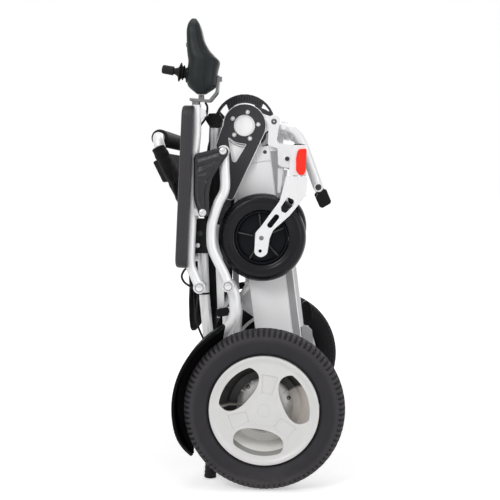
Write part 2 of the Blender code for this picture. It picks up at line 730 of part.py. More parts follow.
def box_frame():
    """Corner, downward and rightward directions of the tilted battery box."""
    down = Vector((math.sin(BOX_TILT), -math.cos(BOX_TILT)))
    right = Vector((math.cos(BOX_TILT), math.sin(BOX_TILT)))
    return Vector(BOX_TOP_RIGHT), down, right


def make_battery_box(side_name):
    """Battery housing bolted to its rail: a lid line near the top and a sunk cover strip on its underside edge."""
    side = SIDES[side_name]
    corner, down, right = box_frame()
    wide = BOX_WIDE + STRIP_WIDE
    right_top = corner + right * STRIP_WIDE + down * 0.003
    right_low = corner + right * STRIP_WIDE + down * BOX_LENGTH
    outline = rounded([corner, right_top, right_low, right_low - right * wide, corner - right * BOX_WIDE], 0.004, 2)
    inner = BOX_OUTER_Y - BOX_DEEP
    box = add_object("battery_box_" + side_name, prism(outline, side * inner, side * BOX_OUTER_Y), "silver")
    soften(box, 0.0015, 1)
    strip = [corner - down * 0.010, corner + right * 0.030 - down * 0.010, right_low + right * 0.015 + down * 0.010,
             corner + down * (BOX_LENGTH + 0.010)]
    cut(box, prism(strip, side * (BOX_OUTER_Y - STRIP_DROP), side * (BOX_OUTER_Y + 0.010)))
    tongue = [(0.0226, 0.6325), (0.0218, 0.5818), (0.0283, 0.5818), (0.0340, 0.6325)]
    union(box, prism(rounded(tongue, 0.002), side * (BOX_OUTER_Y - 0.0040), side * (BOX_OUTER_Y + 0.0008)))
    lid = [corner + down * LID_LINE + right * 0.040, corner + down * (LID_LINE + 0.0015) + right * 0.040,
           corner + down * (LID_LINE + 0.0015) - right * 0.090, corner + down * LID_LINE - right * 0.090]
    cut(box, prism(lid, side * (BOX_OUTER_Y - 2 * STRIP_DROP), side * (BOX_OUTER_Y + 0.010)))


def make_ring_plate(side_name):
    """Cover plate round the front cross tube's hub: a bolt ring with a long foot and a three-sided window."""
    side = SIDES[side_name]
    x, z = FRONT_TUBE
    inner = BACK_Y - BACK_R + 0.0005 + SEAT_GAP
    outline = arc(FRONT_TUBE, RING_R, -28, 178, 13) + [(-0.0915, 0.7130), (-0.1035, 0.6780), (-0.0960, 0.6600),
                                                       (-0.0900, 0.6200), (-0.0850, 0.5720), (-0.0700, 0.5660)]
    window = rounded([(-0.0775, 0.6960), (-0.0640, 0.6765), (-0.0440, 0.6740), (-0.0610, 0.6450),
                      (-0.0700, 0.6455), (-0.0765, 0.6750)], 0.0025, 2)
    holes = [circle(FRONT_TUBE, RING_HOLE_R, 18), window]
    for k in range(5):
        angle = math.radians(72 * k + 5)
        spot = (x + RING_BOLT_CIRCLE_R * math.cos(angle), z + RING_BOLT_CIRCLE_R * math.sin(angle))
        holes.append(circle(spot, RING_BOLT_R, 8))
    plate = prism(outline, side * inner, side * (inner + PLATE), holes)
    add_object("ring_plate_" + side_name, plate, "charcoal")


def make_lift_grip(side_name):
    """Moulded lifting grip: a ribbed half wheel round the front cross tube, open at both ends."""
    side = SIDES[side_name]
    outer_y = SEAT_Y - SEAT_R - 0.0035
    inner_y = outer_y - GRIP_WIDE
    bore = (FRONT_TUBE_R + SEAT_GAP) / math.cos(math.pi / 16)
    x, z = GRIP_CENTRE
    band_in = GRIP_R - GRIP_BAND
    outline = arc(GRIP_CENTRE, GRIP_R, 22, 158, 13) + arc(FRONT_TUBE, bore + 0.007, 178, 362, 8)
    holes = [circle(FRONT_TUBE, bore, 16)]
    arch = arc(GRIP_CENTRE, band_in, 62, 118, 6) + arc(FRONT_TUBE, bore + 0.007, 112, 68, 5)
    holes.append(arch)
    for mirror in (1, -1):
        first = arc(GRIP_CENTRE, GRIP_R - 0.005, 30, 50, 4)
        inner = [(x + 0.030, z + 0.024), (x + 0.036, z + 0.013)]
        loop = first + inner
        holes.append([(x + mirror * (px - x), pz) for px, pz in loop])
    grip = add_object("lift_grip_" + side_name, prism(outline, side * inner_y, side * outer_y, holes), "charcoal")
    count = int(2 * 0.040 / GRIP_RIB_PITCH)
    grooves = bmesh.new()
    for i in range(count + 1):
        px = x + (i - count / 2) * GRIP_RIB_PITCH
        reach = math.sqrt(GRIP_R ** 2 - (px - x) ** 2)
        low = math.sqrt(band_in ** 2 - (px - x) ** 2) if abs(px - x) < band_in * 0.6 else band_in * 0.8
        groove = [(px - 0.0011, z + low + 0.003), (px + 0.0011, z + low + 0.003),
                  (px + 0.0011, z + reach + 0.010), (px - 0.0011, z + reach + 0.010)]
        piece = prism(groove, side * (outer_y - 0.0025), side * (outer_y + 0.010))
        data = bpy.data.meshes.new("groove")
        piece.to_mesh(data)
        piece.free()
        grooves.from_mesh(data)
        bpy.data.meshes.remove(data)
    cut(grip, grooves)


# Front legs, casters and footrest

def leg_plate_y():
    inner = BACK_Y - BACK_R + 0.0005 + SEAT_GAP
    return inner, inner + PLATE


def caster_y():
    """Middle of the caster, just outside the battery box."""
    return BOX_OUTER_Y + 0.0013 + FORK_PLATE + FORK_INNER_GAP + CASTER_WIDTH / 2


def swivel_tube(low, high, radius, side, sides=18):
    """A round bar on the caster's swivel axis between two heights."""
    def at(height):
        share = (height - SWIVEL_LOW[1]) / (SWIVEL_HIGH[1] - SWIVEL_LOW[1])
        x, _ = joined(SWIVEL_LOW, SWIVEL_HIGH, share)
        return Vector((x, side * caster_y(), height))
    return tube([at(low), at(high)], radius, sides)


def make_leg_bracket(side_name):
    """Leg plate from its pivot to the square caster barrel."""
    side = SIDES[side_name]
    low, high = leg_plate_y()
    eye = arc(LEG_PIVOT, 0.0132, 20, 215, 7)
    outline = eye + [(0.0025, 0.6790), (0.0226, 0.6722), (0.0232, 0.6380), (0.0380, 0.6332),
                     (0.0560, 0.6332), (0.0560, 0.6740), (0.0520, 0.6790), (0.0200, 0.6830)]
    radii = [0] * len(eye) + [0.003, 0.002, 0.004, 0.006, 0.002, 0.003, 0.003, 0.006]
    hole = circle(LEG_PIVOT, PIN_R + PIN_GAP, 16)
    leg = add_object("leg_bracket_" + side_name, prism(rounded(outline, radii, 1), side * low, side * high, [hole]),
                     "silver")
    barrel = rounded([(0.0520, 0.6783), (0.0800, 0.6783), (0.0795, 0.6175), (0.0455, 0.6175)], 0.0025, 2)
    union(leg, prism(barrel, side * (high - 0.001), side * (caster_y() + BARREL_DEEP / 2)))
    union(leg, rod(LEG_BOLT, 0.0058, side * (high - 0.001), side * (high + 0.0030), 8))
    cut(leg, swivel_tube(SWIVEL_LOW[1] - 0.010, SWIVEL_HIGH[1] - 0.014, STEM_R + PIN_GAP, side, 14))
    carry(leg, "leg")


def make_hanger():
    """Cross tube between the legs with a bent footrest tube at each end."""
    low, _ = leg_plate_y()
    end = low - SEAT_GAP
    hanger = add_object("footrest_hanger", rod(HANGER_START, CROSS_R, 0.0015 - end, end - 0.0015, 13), "silver")
    for side in SIDES.values():
        y = MOTOR_INNER_Y - 0.0005 - HANGER_R
        path = bent(flat(HANGER_PATH, side, y), 0.026, 2)
        path[-1] = path[-1].lerp(path[-2], 0.02)
        union(hanger, tube(path, HANGER_R, 8))
        round_end = HANGER_R - 0.0004
        union(hanger, rod(FOOTPLATE_PIVOT, HANGER_R + 0.0003, side * (y - round_end), side * (y + round_end), 13))
        union(hanger, rod(HANGER_START, 0.0135, side * (end - 0.003), side * end, 11))
        union(hanger, rod(FOOTPLATE_PIVOT, PIN_R, side * (y - HANGER_R - 0.012), side * (y - HANGER_R + 0.0055), 10))
    carry(hanger, "leg")


def make_footplate():
    """Folded footplate between the tubes: a ribbed plate with pivot ears and an end block under each tube."""
    y = MOTOR_INNER_Y - 0.0005 - HANGER_R
    half = y - HANGER_R - RUN_GAP
    pivot = Vector(FOOTPLATE_PIVOT)
    up = (Vector(HANGER_PATH[2]) - pivot).normalized()
    out = Vector((up.y, -up.x))
    thick = FOOTPLATE_THICK / 2
    top = pivot + up * FOOTPLATE_LONG
    low = pivot - up * FOOTPLATE_TAIL
    plate = [top - out * thick * 0.6, top + out * thick * 0.6, pivot + out * thick, low + out * (thick + 0.004),
             low - out * (thick - 0.002), pivot - out * thick]
    plate = rounded([tuple(p) for p in plate], [0.004, 0.004, 0.01, 0.004, 0.004, 0.01], 1)
    foot = add_object("footplate", prism(plate, -half, half), "black")
    blocks = rounded([(0.1201, 0.5930), (0.1333, 0.5619), (0.1105, 0.5488), (0.1000, 0.5712), (0.1032, 0.5768),
                      (0.1068, 0.5800)], [0.003, 0.004, 0.004, 0.003, 0.002, 0.002], 1)
    for side in SIDES.values():
        union(foot, prism(blocks, side * (half - 0.030), side * (y + HANGER_R)))
        cut(foot, rod(FOOTPLATE_PIVOT, HANGER_R + 0.0008, side * half, side * (y + HANGER_R + 0.01), 13))
        cut(foot, rod(FOOTPLATE_PIVOT, PIN_R + PIN_GAP, side * (half - 0.014), side * (half + 0.01), 10))
    window = [tuple(pivot + up * a + out * b) for a, b in ((0.030, 0.05), (0.030, -0.05), (0.085, -0.05), (0.085, 0.05))]
    for k in range(-2, 3):
        middle = k * half * 0.36
        cut(foot, prism(rounded(window, 0.006, 1), middle - half * 0.12, middle + half * 0.12))
    carry(foot, "footplate")


def fork_outline():
    """Side view of a fork plate, head to axle end."""
    x, z = CASTER_AXLE
    return rounded([(0.0400, 0.6150), (0.0790, 0.6150), (0.0822, 0.6090), (0.0795, 0.5761), (0.0485, 0.5379),
                    (0.0150, 0.5080), (x + 0.0165, z), (x + 0.0115, 0.4600), (x + 0.0015, 0.4520),
                    (x - 0.0090, 0.4600), (x - 0.0110, 0.5027), (-0.0094, 0.5155), (0.0280, 0.5665),
                    (0.0366, 0.5983)],
                   [0.002, 0.003, 0.004, 0.012, 0.012, 0.014, 0.012, 0.006, 0.008, 0.006, 0.012, 0.008, 0.02, 0.01], 1)


def make_fork(side_name):
    """Caster fork: two slotted plates, a bridge under the barrel, the stem in it and the wheel's axle."""
    side = SIDES[side_name]
    middle = caster_y()
    gap = CASTER_WIDTH / 2 + FORK_INNER_GAP
    slot_a = rounded([(0.0440, 0.5745), (0.0560, 0.5690), (0.0570, 0.5600), (0.0400, 0.5420), (0.0315, 0.5455),
                      (0.0305, 0.5545)], 0.0035, 1)
    slot_b = lobe((0.0215, 0.5345), (0.0085, 0.5180), 0.0045, 0.0045, 3)
    spare = circle((-0.0125, 0.4666), 0.0030, 8)
    plates = []
    for sign in (-1, 1):
        start = middle + sign * gap
        plates.append(prism(fork_outline(), side * start, side * (start + sign * FORK_PLATE), [slot_a, slot_b, spare]))
    fork = add_object("caster_fork_" + side_name, plates[0], "silver")
    bridge = rounded([(0.0420, 0.6168), (0.0780, 0.6142), (0.0790, 0.6090), (0.0400, 0.6090)], 0.001, 2)
    union(fork, prism(bridge, side * (middle - gap - FORK_PLATE * 0.5), side * (middle + gap + FORK_PLATE * 0.5)))
    union(fork, plates[1])
    union(fork, swivel_tube(SWIVEL_LOW[1] - 0.004, SWIVEL_HIGH[1] - 0.016, STEM_R, side, 14))
    union(fork, rod(CASTER_AXLE, 0.0055, side * (middle - gap - FORK_PLATE * 0.5),
                    side * (middle + gap + FORK_PLATE * 0.5), 10))
    carry(fork, "caster_" + side_name)


def make_caster_wheel(side_name):
    """Solid caster tyre on a five-spoked hub."""
    side = SIDES[side_name]
    place = (CASTER_AXLE[0], side * caster_y(), CASTER_AXLE[1])
    half = CASTER_WIDTH / 2
    wall = CASTER_R - CASTER_HUB_R
    section = [(CASTER_HUB_R, 0.72 * half), (CASTER_HUB_R + 0.10 * wall, 0.86 * half),
               (CASTER_HUB_R + 0.42 * wall, half), (CASTER_HUB_R + 0.68 * wall, 0.97 * half),
               (CASTER_HUB_R + 0.90 * wall, 0.66 * half), (CASTER_R, 0.22 * half)]
    profile = section + [(radius, -y) for radius, y in reversed(section)]
    tyre = lathe(profile, 20, True, place)
    carry(add_object("caster_tyre_" + side_name, tyre, "rubber"), "caster_wheel_" + side_name)
    outer = CASTER_HUB_R * math.cos(math.pi / 20) - SEAT_GAP
    rim = [(outer, 0.70 * half), (outer, -0.70 * half), (outer - 0.004, -0.70 * half), (outer - 0.006, -0.12 * half),
           (outer - 0.006, 0.12 * half), (outer - 0.004, 0.70 * half)]
    hub = add_object("caster_hub_" + side_name, lathe(rim, 16, True), "black")
    web = lathe([(0.0150, 0.12 * half), (outer - 0.005, 0.12 * half), (outer - 0.005, -0.12 * half),
                 (0.0150, -0.12 * half)], 16, True)
    union(hub, web)
    union(hub, lathe([(0.0180, 0.90 * half), (0.0180, -0.90 * half), (0.0055 + PIN_GAP, -0.90 * half),
                      (0.0055 + PIN_GAP, 0.90 * half)], 10, True))
    for k in range(5):
        rib = prism([(0.0165, -0.0012), (outer - 0.003, -0.0012), (outer - 0.003, 0.0012), (0.0165, 0.0012)],
                    -0.55 * half, 0.55 * half)
        bmesh.ops.rotate(rib, verts=rib.verts, matrix=Matrix.Rotation(-math.radians(72 * k + 24), 3, "Y"))
        union(hub, rib)
    hub.data.transform(Matrix.Translation(place))
    carry(hub, "caster_wheel_" + side_name)


def make_reflector(side_name):
    """Red reflector on the barrel's flat outer face."""
    side = SIDES[side_name]
    inner = caster_y() + BARREL_DEEP / 2 + SEAT_GAP
    outline = rounded([(0.0640, 0.6745), (0.0798, 0.6745), (0.0790, 0.6330), (0.0725, 0.6185), (0.0645, 0.6215),
                       (0.0608, 0.6350), (0.0605, 0.6640)], 0.006, 3)
    lens = add_object("reflector_" + side_name, prism(outline, side * inner, side * (inner + 0.003)), "reflector")
    carry(lens, "leg")


# Back

def back_path(side):
    return bent(flat(BACK_PATH, side, BACK_Y), 0.040, 1)


def make_back_lower():
    """Lower back frame: two tubes from the floor pivots, joined behind the lower cushion."""
    path = [(BRACE_LOW[0], side * y, BRACE_LOW[1]) for side, y in ((-1, BACK_Y), (1, BACK_Y))]
    near = (BRACE_BACK_X + BRACE_BEND, -BACK_Y, BRACE_LOW[1])
    corner = (BRACE_BACK_X, -BACK_Y, BRACE_LOW[1])
    far = (BRACE_BACK_X + BRACE_BEND, BACK_Y, BRACE_LOW[1])
    other = (BRACE_BACK_X, BACK_Y, BRACE_LOW[1])
    across = bent([path[0], near, corner, other, far, path[1]], BRACE_BEND, 2)
    frame = add_object("back_frame_lower", tube(across, BACK_BRACE_R, 8), "silver")
    for side in SIDES.values():
        union(frame, tube(back_path(side), BACK_R, 10))
        union(frame, rod(BACK_PIVOT, EYE_R, side * (BACK_Y - BACK_R + EYE_TRIM), side * (BACK_Y + BACK_R - EYE_TRIM), 13))
        union(frame, rod(ARM_PIVOT, EYE_R - 0.0025, side * (BACK_Y + 0.005), side * (ARM_Y - ARM_R - 0.0010), 13))
        union(frame, rod(ARM_PIVOT, PIN_R, side * (ARM_Y - ARM_R - 0.003), side * (ARM_Y + ARM_R + 0.0010), 10))
        union(frame, rod(SEAT_PIVOT, PIN_R, side * (BACK_Y - BACK_R + 0.002), side * (SEAT_Y - SEAT_R - 0.0008), 10))
        cut(frame, rod(BACK_PIVOT, PIN_R + PIN_GAP, side * (BACK_Y - BACK_R - 0.004), side * (BACK_Y + BACK_R + 0.004), 10))
    carry(frame, "back_unfold")


def make_recline_block(side_name):
    """Moulded hinge block: a bore for the lower tube and a fork with the pin for the upper one."""
    side = SIDES[side_name]
    inner = BACK_Y - BLOCK_IN
    outer = BACK_Y + BLOCK_OUT
    slot_half = BACK_R + SEAT_GAP
    outline = rounded([(-0.1462, 0.5298), (-0.1201, 0.5298), (-0.1202, 0.5005), (-0.1154, 0.4598),
                       (-0.1448, 0.4596), (-0.1480, 0.4939)], [0.005, 0.005, 0.01, 0.003, 0.003, 0.01], 1)
    block = add_object("recline_block_" + side_name, prism(outline, side * inner, side * outer), "black")
    top = Vector(flat([BACK_PATH[-1]], side, BACK_Y)[0])
    lean = (top - Vector(flat([BACK_PATH[-2]], side, BACK_Y)[0])).normalized()
    cut(block, tube([top - lean * 0.045, top + lean * SEAT_GAP], BACK_R + SEAT_GAP, 10))
    floor = RECLINE_PIVOT[1] - BACK_R - RUN_GAP
    slot = [(-0.170, floor), (-0.100, floor), (-0.100, 0.560), (-0.170, 0.560)]
    cut(block, prism(slot, side * (BACK_Y - slot_half), side * (BACK_Y + slot_half)))
    union(block, rod(RECLINE_PIVOT, PIN_R - 0.0005, side * (inner + 0.0010), side * (outer - 0.0020), 10))
    cut(block, rod(BUTTON_PLACE, BUTTON_R + PIN_GAP, side * (outer - BUTTON_RECESS), side * (outer + 0.01), 10))
    carry(block, "back_unfold")


def make_recline_button(side_name):
    side = SIDES[side_name]
    outer = BACK_Y + BLOCK_OUT
    inner = outer - BUTTON_RECESS + BUTTON_TRAVEL + 0.0002
    profile = [(0, inner), (BUTTON_R, inner), (BUTTON_R, outer + 0.0025), (BUTTON_R - 0.0012, outer + 0.0037),
               (0, outer + 0.0037)]
    profile = [(radius, side * y) for radius, y in profile]
    button = add_object("recline_button_" + side_name,
                        lathe(profile, 16, place=(BUTTON_PLACE[0], 0, BUTTON_PLACE[1])), "grey")
    carry(button, "recline_button_" + side_name)


def upper_path():
    corners = [flat([p], -1, BACK_Y)[0] for p in (RECLINE_PIVOT, UPPER_BEND, PUSH_BAR)]
    corners += [flat([p], 1, BACK_Y)[0] for p in (PUSH_BAR, UPPER_BEND, RECLINE_PIVOT)]
    return bent(corners, UPPER_BEND_R, 3)


def make_back_upper():
    """Upper back frame: one bent tube from hinge to hinge over the top."""
    frame = add_object("back_frame_upper", tube(upper_path(), BACK_R, 10), "silver")
    for side in SIDES.values():
        union(frame, rod(RECLINE_PIVOT, BACK_R + 0.0002, side * (BACK_Y - BACK_R + EYE_TRIM), side * (BACK_Y + BACK_R - EYE_TRIM), 13))
        cut(frame, rod(RECLINE_PIVOT, PIN_R - 0.0005 + PIN_GAP, side * (BACK_Y - 0.03), side * (BACK_Y + 0.03), 10))
    carry(frame, "back_recline")


def make_push_grip():
    """Foam sleeve over the top bar, between its two bends."""
    reach = BACK_Y - UPPER_BEND_R - 0.0015
    ends = [Vector(flat([PUSH_BAR], side, reach)[0]) for side in (-1, 1)]
    foam = sleeve(ends, GRIP_FOAM_R, (BACK_R + SEAT_GAP) / math.cos(math.pi / 10), 10)
    carry(add_object("push_grip", foam, "rubber"), "back_recline")


def cushion(middle, up, half_long, half_wide, half_thick, pleats, pleat_deep, side_power=6):
    """An upholstered pad: rounded corners, a crown, sides drawn in, and channels across one face.

    middle and up are (X, Z); the face with the channels looks to the left of up. A higher side_power
    keeps the pad full nearer to its sides.
    """
    up = Vector(up).normalized()
    out = Vector((-up.y, up.x))
    ends = [math.sin(math.pi / 2 * a) for a in (-1, -0.87, -0.70, -0.45)]
    us = ends + [-0.35, -0.12, 0.12, 0.35] + [-e for e in reversed(ends)]
    for pleat in pleats:
        us = [u for u in us if abs(u - pleat) > 0.07] + [pleat - 0.05, pleat - 0.018, pleat + 0.018, pleat + 0.05]
    us.sort()
    edges = ends if side_power < 10 else [-1, -0.993, -0.975, -0.940, -0.880]
    vs = edges + [-0.40, 0.0, 0.40] + [-e for e in reversed(edges)]
    mesh = bmesh.new()
    faces = []
    for sign in (1, -1):
        grid = []
        for i, u in enumerate(us):
            row = []
            for j, v in enumerate(vs):
                edge = i in (0, len(us) - 1) or j in (0, len(vs) - 1)
                if edge and sign < 0:
                    row.append(faces[0][i][j])
                    continue
                full = 0 if edge else math.sqrt((1 - abs(u) ** 6) * (1 - abs(v) ** side_power))
                crown = 0.93 + 0.07 * (1 - u * u) * (1 - v * v)
                dip = max([1 - abs(u - p) / 0.04 for p in pleats] + [0]) * pleat_deep * (sign > 0) * (full > 0.5)
                height = sign * half_thick * full * crown - dip
                length = half_long * u * (1 - 0.06 * abs(v) ** 8)
                width = half_wide * v * (1 - 0.05 * abs(u) ** 8) * (1 - 0.008 * (1 - u * u))
                spot = Vector(middle) + up * length + out * height
                row.append(mesh.verts.new((spot.x, width, spot.y)))
            grid.append(row)
        faces.append(grid)
        for i in range(len(us) - 1):
            for j in range(len(vs) - 1):
                mesh.faces.new((grid[i][j], grid[i + 1][j], grid[i + 1][j + 1], grid[i][j + 1]))
    return mesh


def make_back_cushions():
    """Upper cushion sleeved over the upper frame, its strap sewn on behind, and the lower cushion below it."""
    up = Vector(UPPER_BEND) - Vector(RECLINE_PIVOT)
    middle = along(RECLINE_PIVOT, UPPER_BEND, (UPPER_PAD_START + UPPER_PAD_END) / 2)
    half = (UPPER_PAD_END - UPPER_PAD_START) / 2
    upper = add_object("back_cushion", cushion(middle, -up, half, UPPER_PAD_HALF_WIDE, UPPER_PAD_THICK / 2,
                                               (0.0,), 0.0022, 20), "vinyl")
    for side in SIDES.values():
        path = [p for p in upper_path() if p.y * side > 0]
        if side > 0:
            path.reverse()
        cut(upper, tube(path[:8], BACK_R + SEAT_GAP, 10))
    rest = UPPER_PAD_THICK / 2 - 0.0020
    strap = [along(RECLINE_PIVOT, UPPER_BEND, s, rest + t)
             for s, t in zip(STRAP_SPAN + STRAP_SPAN[::-1], (0, 0, STRAP_THICK, STRAP_THICK))]
    union(upper, prism(rounded(strap, 0.003, 2), -STRAP_HALF_WIDE, STRAP_HALF_WIDE))
    carry(upper, "back_recline")
    span = (LOWER_PAD_TOP[1] - LOWER_PAD_LOW[1]) / 2
    centre = joined(LOWER_PAD_LOW, LOWER_PAD_TOP, 0.5)
    lower = cushion(centre, (0, -1), span, LOWER_PAD_HALF_WIDE, LOWER_PAD_THICK / 2, (0.0,), 0.0020)
    carry(add_object("back_cushion_lower", lower, "vinyl"), "back_unfold")
# Seat

def seat_rail(side, start, end):
    """Two points on a seat rail, by distance from its pivot."""
    return [flat([along(SEAT_PIVOT, SEAT_TOP, s)], side, SEAT_Y)[0] for s in (start, end)]


def make_seat():
    """Seat frame with a rail each side and two cross tubes, the cushion on it and its two black end latches."""
    cross = [along(SEAT_PIVOT, SEAT_TOP, s, -SEAT_CROSS_OFF) for s in SEAT_CROSS_AT]
    frame = add_object("seat_frame", rod(cross[0], SEAT_CROSS_R, -SEAT_Y, SEAT_Y, 10), "silver")
    union(frame, rod(cross[1], SEAT_CROSS_R, -SEAT_Y, SEAT_Y, 10))
    length = (Vector(SEAT_TOP) - Vector(SEAT_PIVOT)).length
    for side in SIDES.values():
        start, end = seat_rail(side, 0, length)
        union(frame, tube([Vector(start), Vector(end)], SEAT_R, 8))
        union(frame, rod(SEAT_PIVOT, SEAT_R + 0.0002, side * (SEAT_Y - SEAT_R + EYE_TRIM), side * (SEAT_Y + SEAT_R - EYE_TRIM), 13))
        union(frame, rod(LINK_TOP, 0.0090, side * SEAT_Y, side * (SEAT_Y + SEAT_R + 0.0002), 13))
        cut(frame, rod(SEAT_PIVOT, PIN_R + PIN_GAP, side * (SEAT_Y - 0.03), side * (SEAT_Y + 0.03), 10))
    carry(frame, "seat")
    up = Vector(SEAT_TOP) - Vector(SEAT_PIVOT)
    middle = along(SEAT_PIVOT, SEAT_TOP, SEAT_PAD_START + SEAT_PAD_LONG / 2, SEAT_PAD_OUT)
    pad = cushion(middle, up, SEAT_PAD_LONG / 2, SEAT_PAD_HALF_WIDE, SEAT_PAD_THICK / 2, (-0.34, 0.0, 0.34), 0.0030, 20)
    carry(add_object("seat_cushion", pad, "vinyl"), "seat")


def make_seat_latch(side_name):
    """Moulded end fitting on the front of a seat rail, with a round knob."""
    side = SIDES[side_name]
    base = SEAT_TOP[1] + SEAT_GAP + 0.0003
    outline = rounded([(-0.0935, base), (-0.1160, base), (-0.1251, 0.7300), (-0.1180, 0.7440), (-0.0973, 0.7444),
                       (-0.0907, 0.7314)], 0.004, 3)
    latch = add_object("seat_latch_" + side_name, prism(outline, side * (SEAT_Y - 0.0130), side * (SEAT_Y + 0.0130)),
                       "black")
    union(latch, rod((-0.1080, 0.7330), 0.0105, side * (SEAT_Y - 0.0100), side * (SEAT_Y + 0.0165), 10))
    carry(latch, "seat")


def make_seat_link(side_name):
    """Flat link from the chassis to the seat rail."""
    side = SIDES[side_name]
    inner = SEAT_Y + SEAT_R + RUN_GAP
    outline = lobe(LINK_PIVOT, LINK_TOP, LINK_WIDE / 2, LINK_WIDE / 2)
    hole = circle(LINK_PIVOT, PIN_R + PIN_GAP, 16)
    link = add_object("seat_link_" + side_name, prism(outline, side * inner, side * (inner + LINK_THICK), [hole]),
                      "silver")
    union(link, rod(LINK_TOP, 0.0050, side * (inner + LINK_THICK - 0.001), side * (inner + LINK_THICK + 0.0018), 8))
    carry(link, "seat_link_" + side_name)


# Arms

def make_arm_tube(side_name):
    """Armrest tube from its eye on the back frame, with the guard's lug and a small stop at the top."""
    side = SIDES[side_name]
    path = bent(flat(ARM_PATH, side, ARM_Y), 0.022, 1)
    arm = add_object("arm_tube_" + side_name, tube(path, ARM_R, 8), "silver")
    union(arm, rod(ARM_PIVOT, EYE_R, side * (ARM_Y - ARM_R + EYE_TRIM), side * (ARM_Y + ARM_R - EYE_TRIM), 13))
    spot = joined(ARM_PATH[2], ARM_PATH[3], 0.58)
    lug = lobe((spot[0] + 0.0050, spot[1]), GUARD_BOLT, 0.0065, 0.0080)
    union(arm, prism(lug, side * (ARM_Y + 0.0050), side * (ARM_Y + ARM_R)))
    stop = rounded([(-0.1330, 0.7493), (-0.1188, 0.7477), (-0.1169, 0.7352), (-0.1330, 0.7243)], 0.003, 2)
    union(arm, prism(stop, side * (ARM_Y - 0.0035), side * (ARM_Y + 0.0035)))
    cut(arm, rod(ARM_PIVOT, PIN_R + PIN_GAP, side * (ARM_Y - 0.03), side * (ARM_Y + 0.03), 10))
    carry(arm, "arm_" + side_name)


def pad_mesh(middle, up, half_long, half_wide, corner, levels):
    """A pad with rounded ends: stacked outlines, each at an offset and drawn in by an inset."""
    up = Vector(up).normalized()
    out = Vector((-up.y, up.x))
    mesh = bmesh.new()
    rings = []
    for offset, inset in levels:
        long = half_long - inset
        wide = half_wide - inset
        ends = rounded([(-long, -wide), (long, -wide), (long, wide), (-long, wide)], corner - min(inset, corner * 0.7), 2)
        ring = []
        for a, y in ends:
            spot = Vector(middle) + up * a + out * offset
            ring.append(mesh.verts.new((spot.x, y, spot.y)))
        rings.append(ring)
    skin(mesh, rings, False)
    mesh.faces.new(rings[0])
    mesh.faces.new(rings[-1])
    return mesh


def make_arm_pad(side_name):
    """Padded armrest, grooved underneath for its tube."""
    side = SIDES[side_name]
    low, high = PAD_LOW, PAD_HIGH
    up = Vector(high) - Vector(low)
    middle = joined(low, high, 0.5)
    levels = [(0, 0.003), (0.002, 0.0005), (0.006, 0), (PAD_THICK - 0.007, 0), (PAD_THICK - 0.002, 0.0025),
              (PAD_THICK, 0.007), (PAD_THICK + 0.0006, 0.014)]
    mesh = pad_mesh(middle, up, up.length / 2, PAD_WIDE / 2, 0.020, levels)
    bmesh.ops.translate(mesh, verts=mesh.verts, vec=(0, side * ARM_Y, 0))
    pad = add_object("arm_pad_" + side_name, mesh, "vinyl")
    path = bent(flat(ARM_PATH, side, ARM_Y), 0.022, 1)
    path[0] = path[0] + (path[0] - path[1]).normalized() * 0.010
    cut(pad, tube(path, ARM_R + SEAT_GAP, 8))
    carry(pad, "arm_" + side_name)


def make_side_guard(side_name):
    """Skirt guard plate with a sunk panel and two bolts."""
    side = SIDES[side_name]
    inner = ARM_Y + ARM_R + 0.0015
    outer = inner + GUARD_THICK
    outline = rounded(GUARD_OUTLINE, 0.009, 1)
    guard = add_object("side_guard_" + side_name, prism(outline, side * inner, side * outer), "charcoal")
    middle = Vector((-0.1090, 0.6080))
    panel = [tuple(middle + (Vector(p) - middle) * 0.70) for p in GUARD_OUTLINE]
    cut(guard, prism(rounded(panel, 0.006, 1), side * (outer - 0.0015), side * (outer + 0.010)))
    for spot in (GUARD_PIVOT, GUARD_BOLT):
        union(guard, rod(spot, 0.0078, side * (inner - 0.0012), side * (inner + 0.0020), 13))
        union(guard, rod(spot, 0.0060, side * (outer - 0.0035), side * (outer + 0.0025), 8))
    carry(guard, "arm_" + side_name)


def make_arm_stay(side_name):
    """Bent stay from the chassis to the front of the armrest, with an eye at both ends."""
    side = SIDES[side_name]
    path = [Vector(p) for p in flat(STAY_PATH, side, ARM_Y)]
    stay = add_object("arm_stay_" + side_name, tube(path, ARM_R, 8), "silver")
    union(stay, rod(STAY_PIVOT, EYE_R, side * (ARM_Y - ARM_R + EYE_TRIM), side * (ARM_Y + ARM_R - EYE_TRIM), 13))
    union(stay, rod(GUARD_PIVOT, EYE_R - 0.001, side * (ARM_Y - ARM_R + EYE_TRIM), side * (ARM_Y + ARM_R - EYE_TRIM), 13))
    cut(stay, rod(STAY_PIVOT, PIN_R + PIN_GAP, side * (ARM_Y - 0.03), side * (ARM_Y + 0.03), 10))
    carry(stay, "stay_" + side_name)


# Joystick on the right armrest

def stick_axis():
    return Vector((-math.cos(STICK_TILT), 0, math.sin(STICK_TILT)))


def on_stick(distance, across=0.0, sideways=0.0):
    """A point by distance along the stick from the pod's face, and offsets across it."""
    axis = stick_axis()
    start = Vector((POD_FACE[0], -POD_Y, POD_FACE[1]))
    return start + axis * distance + Vector((axis.z, 0, -axis.x)) * across + Vector((0, sideways, 0))


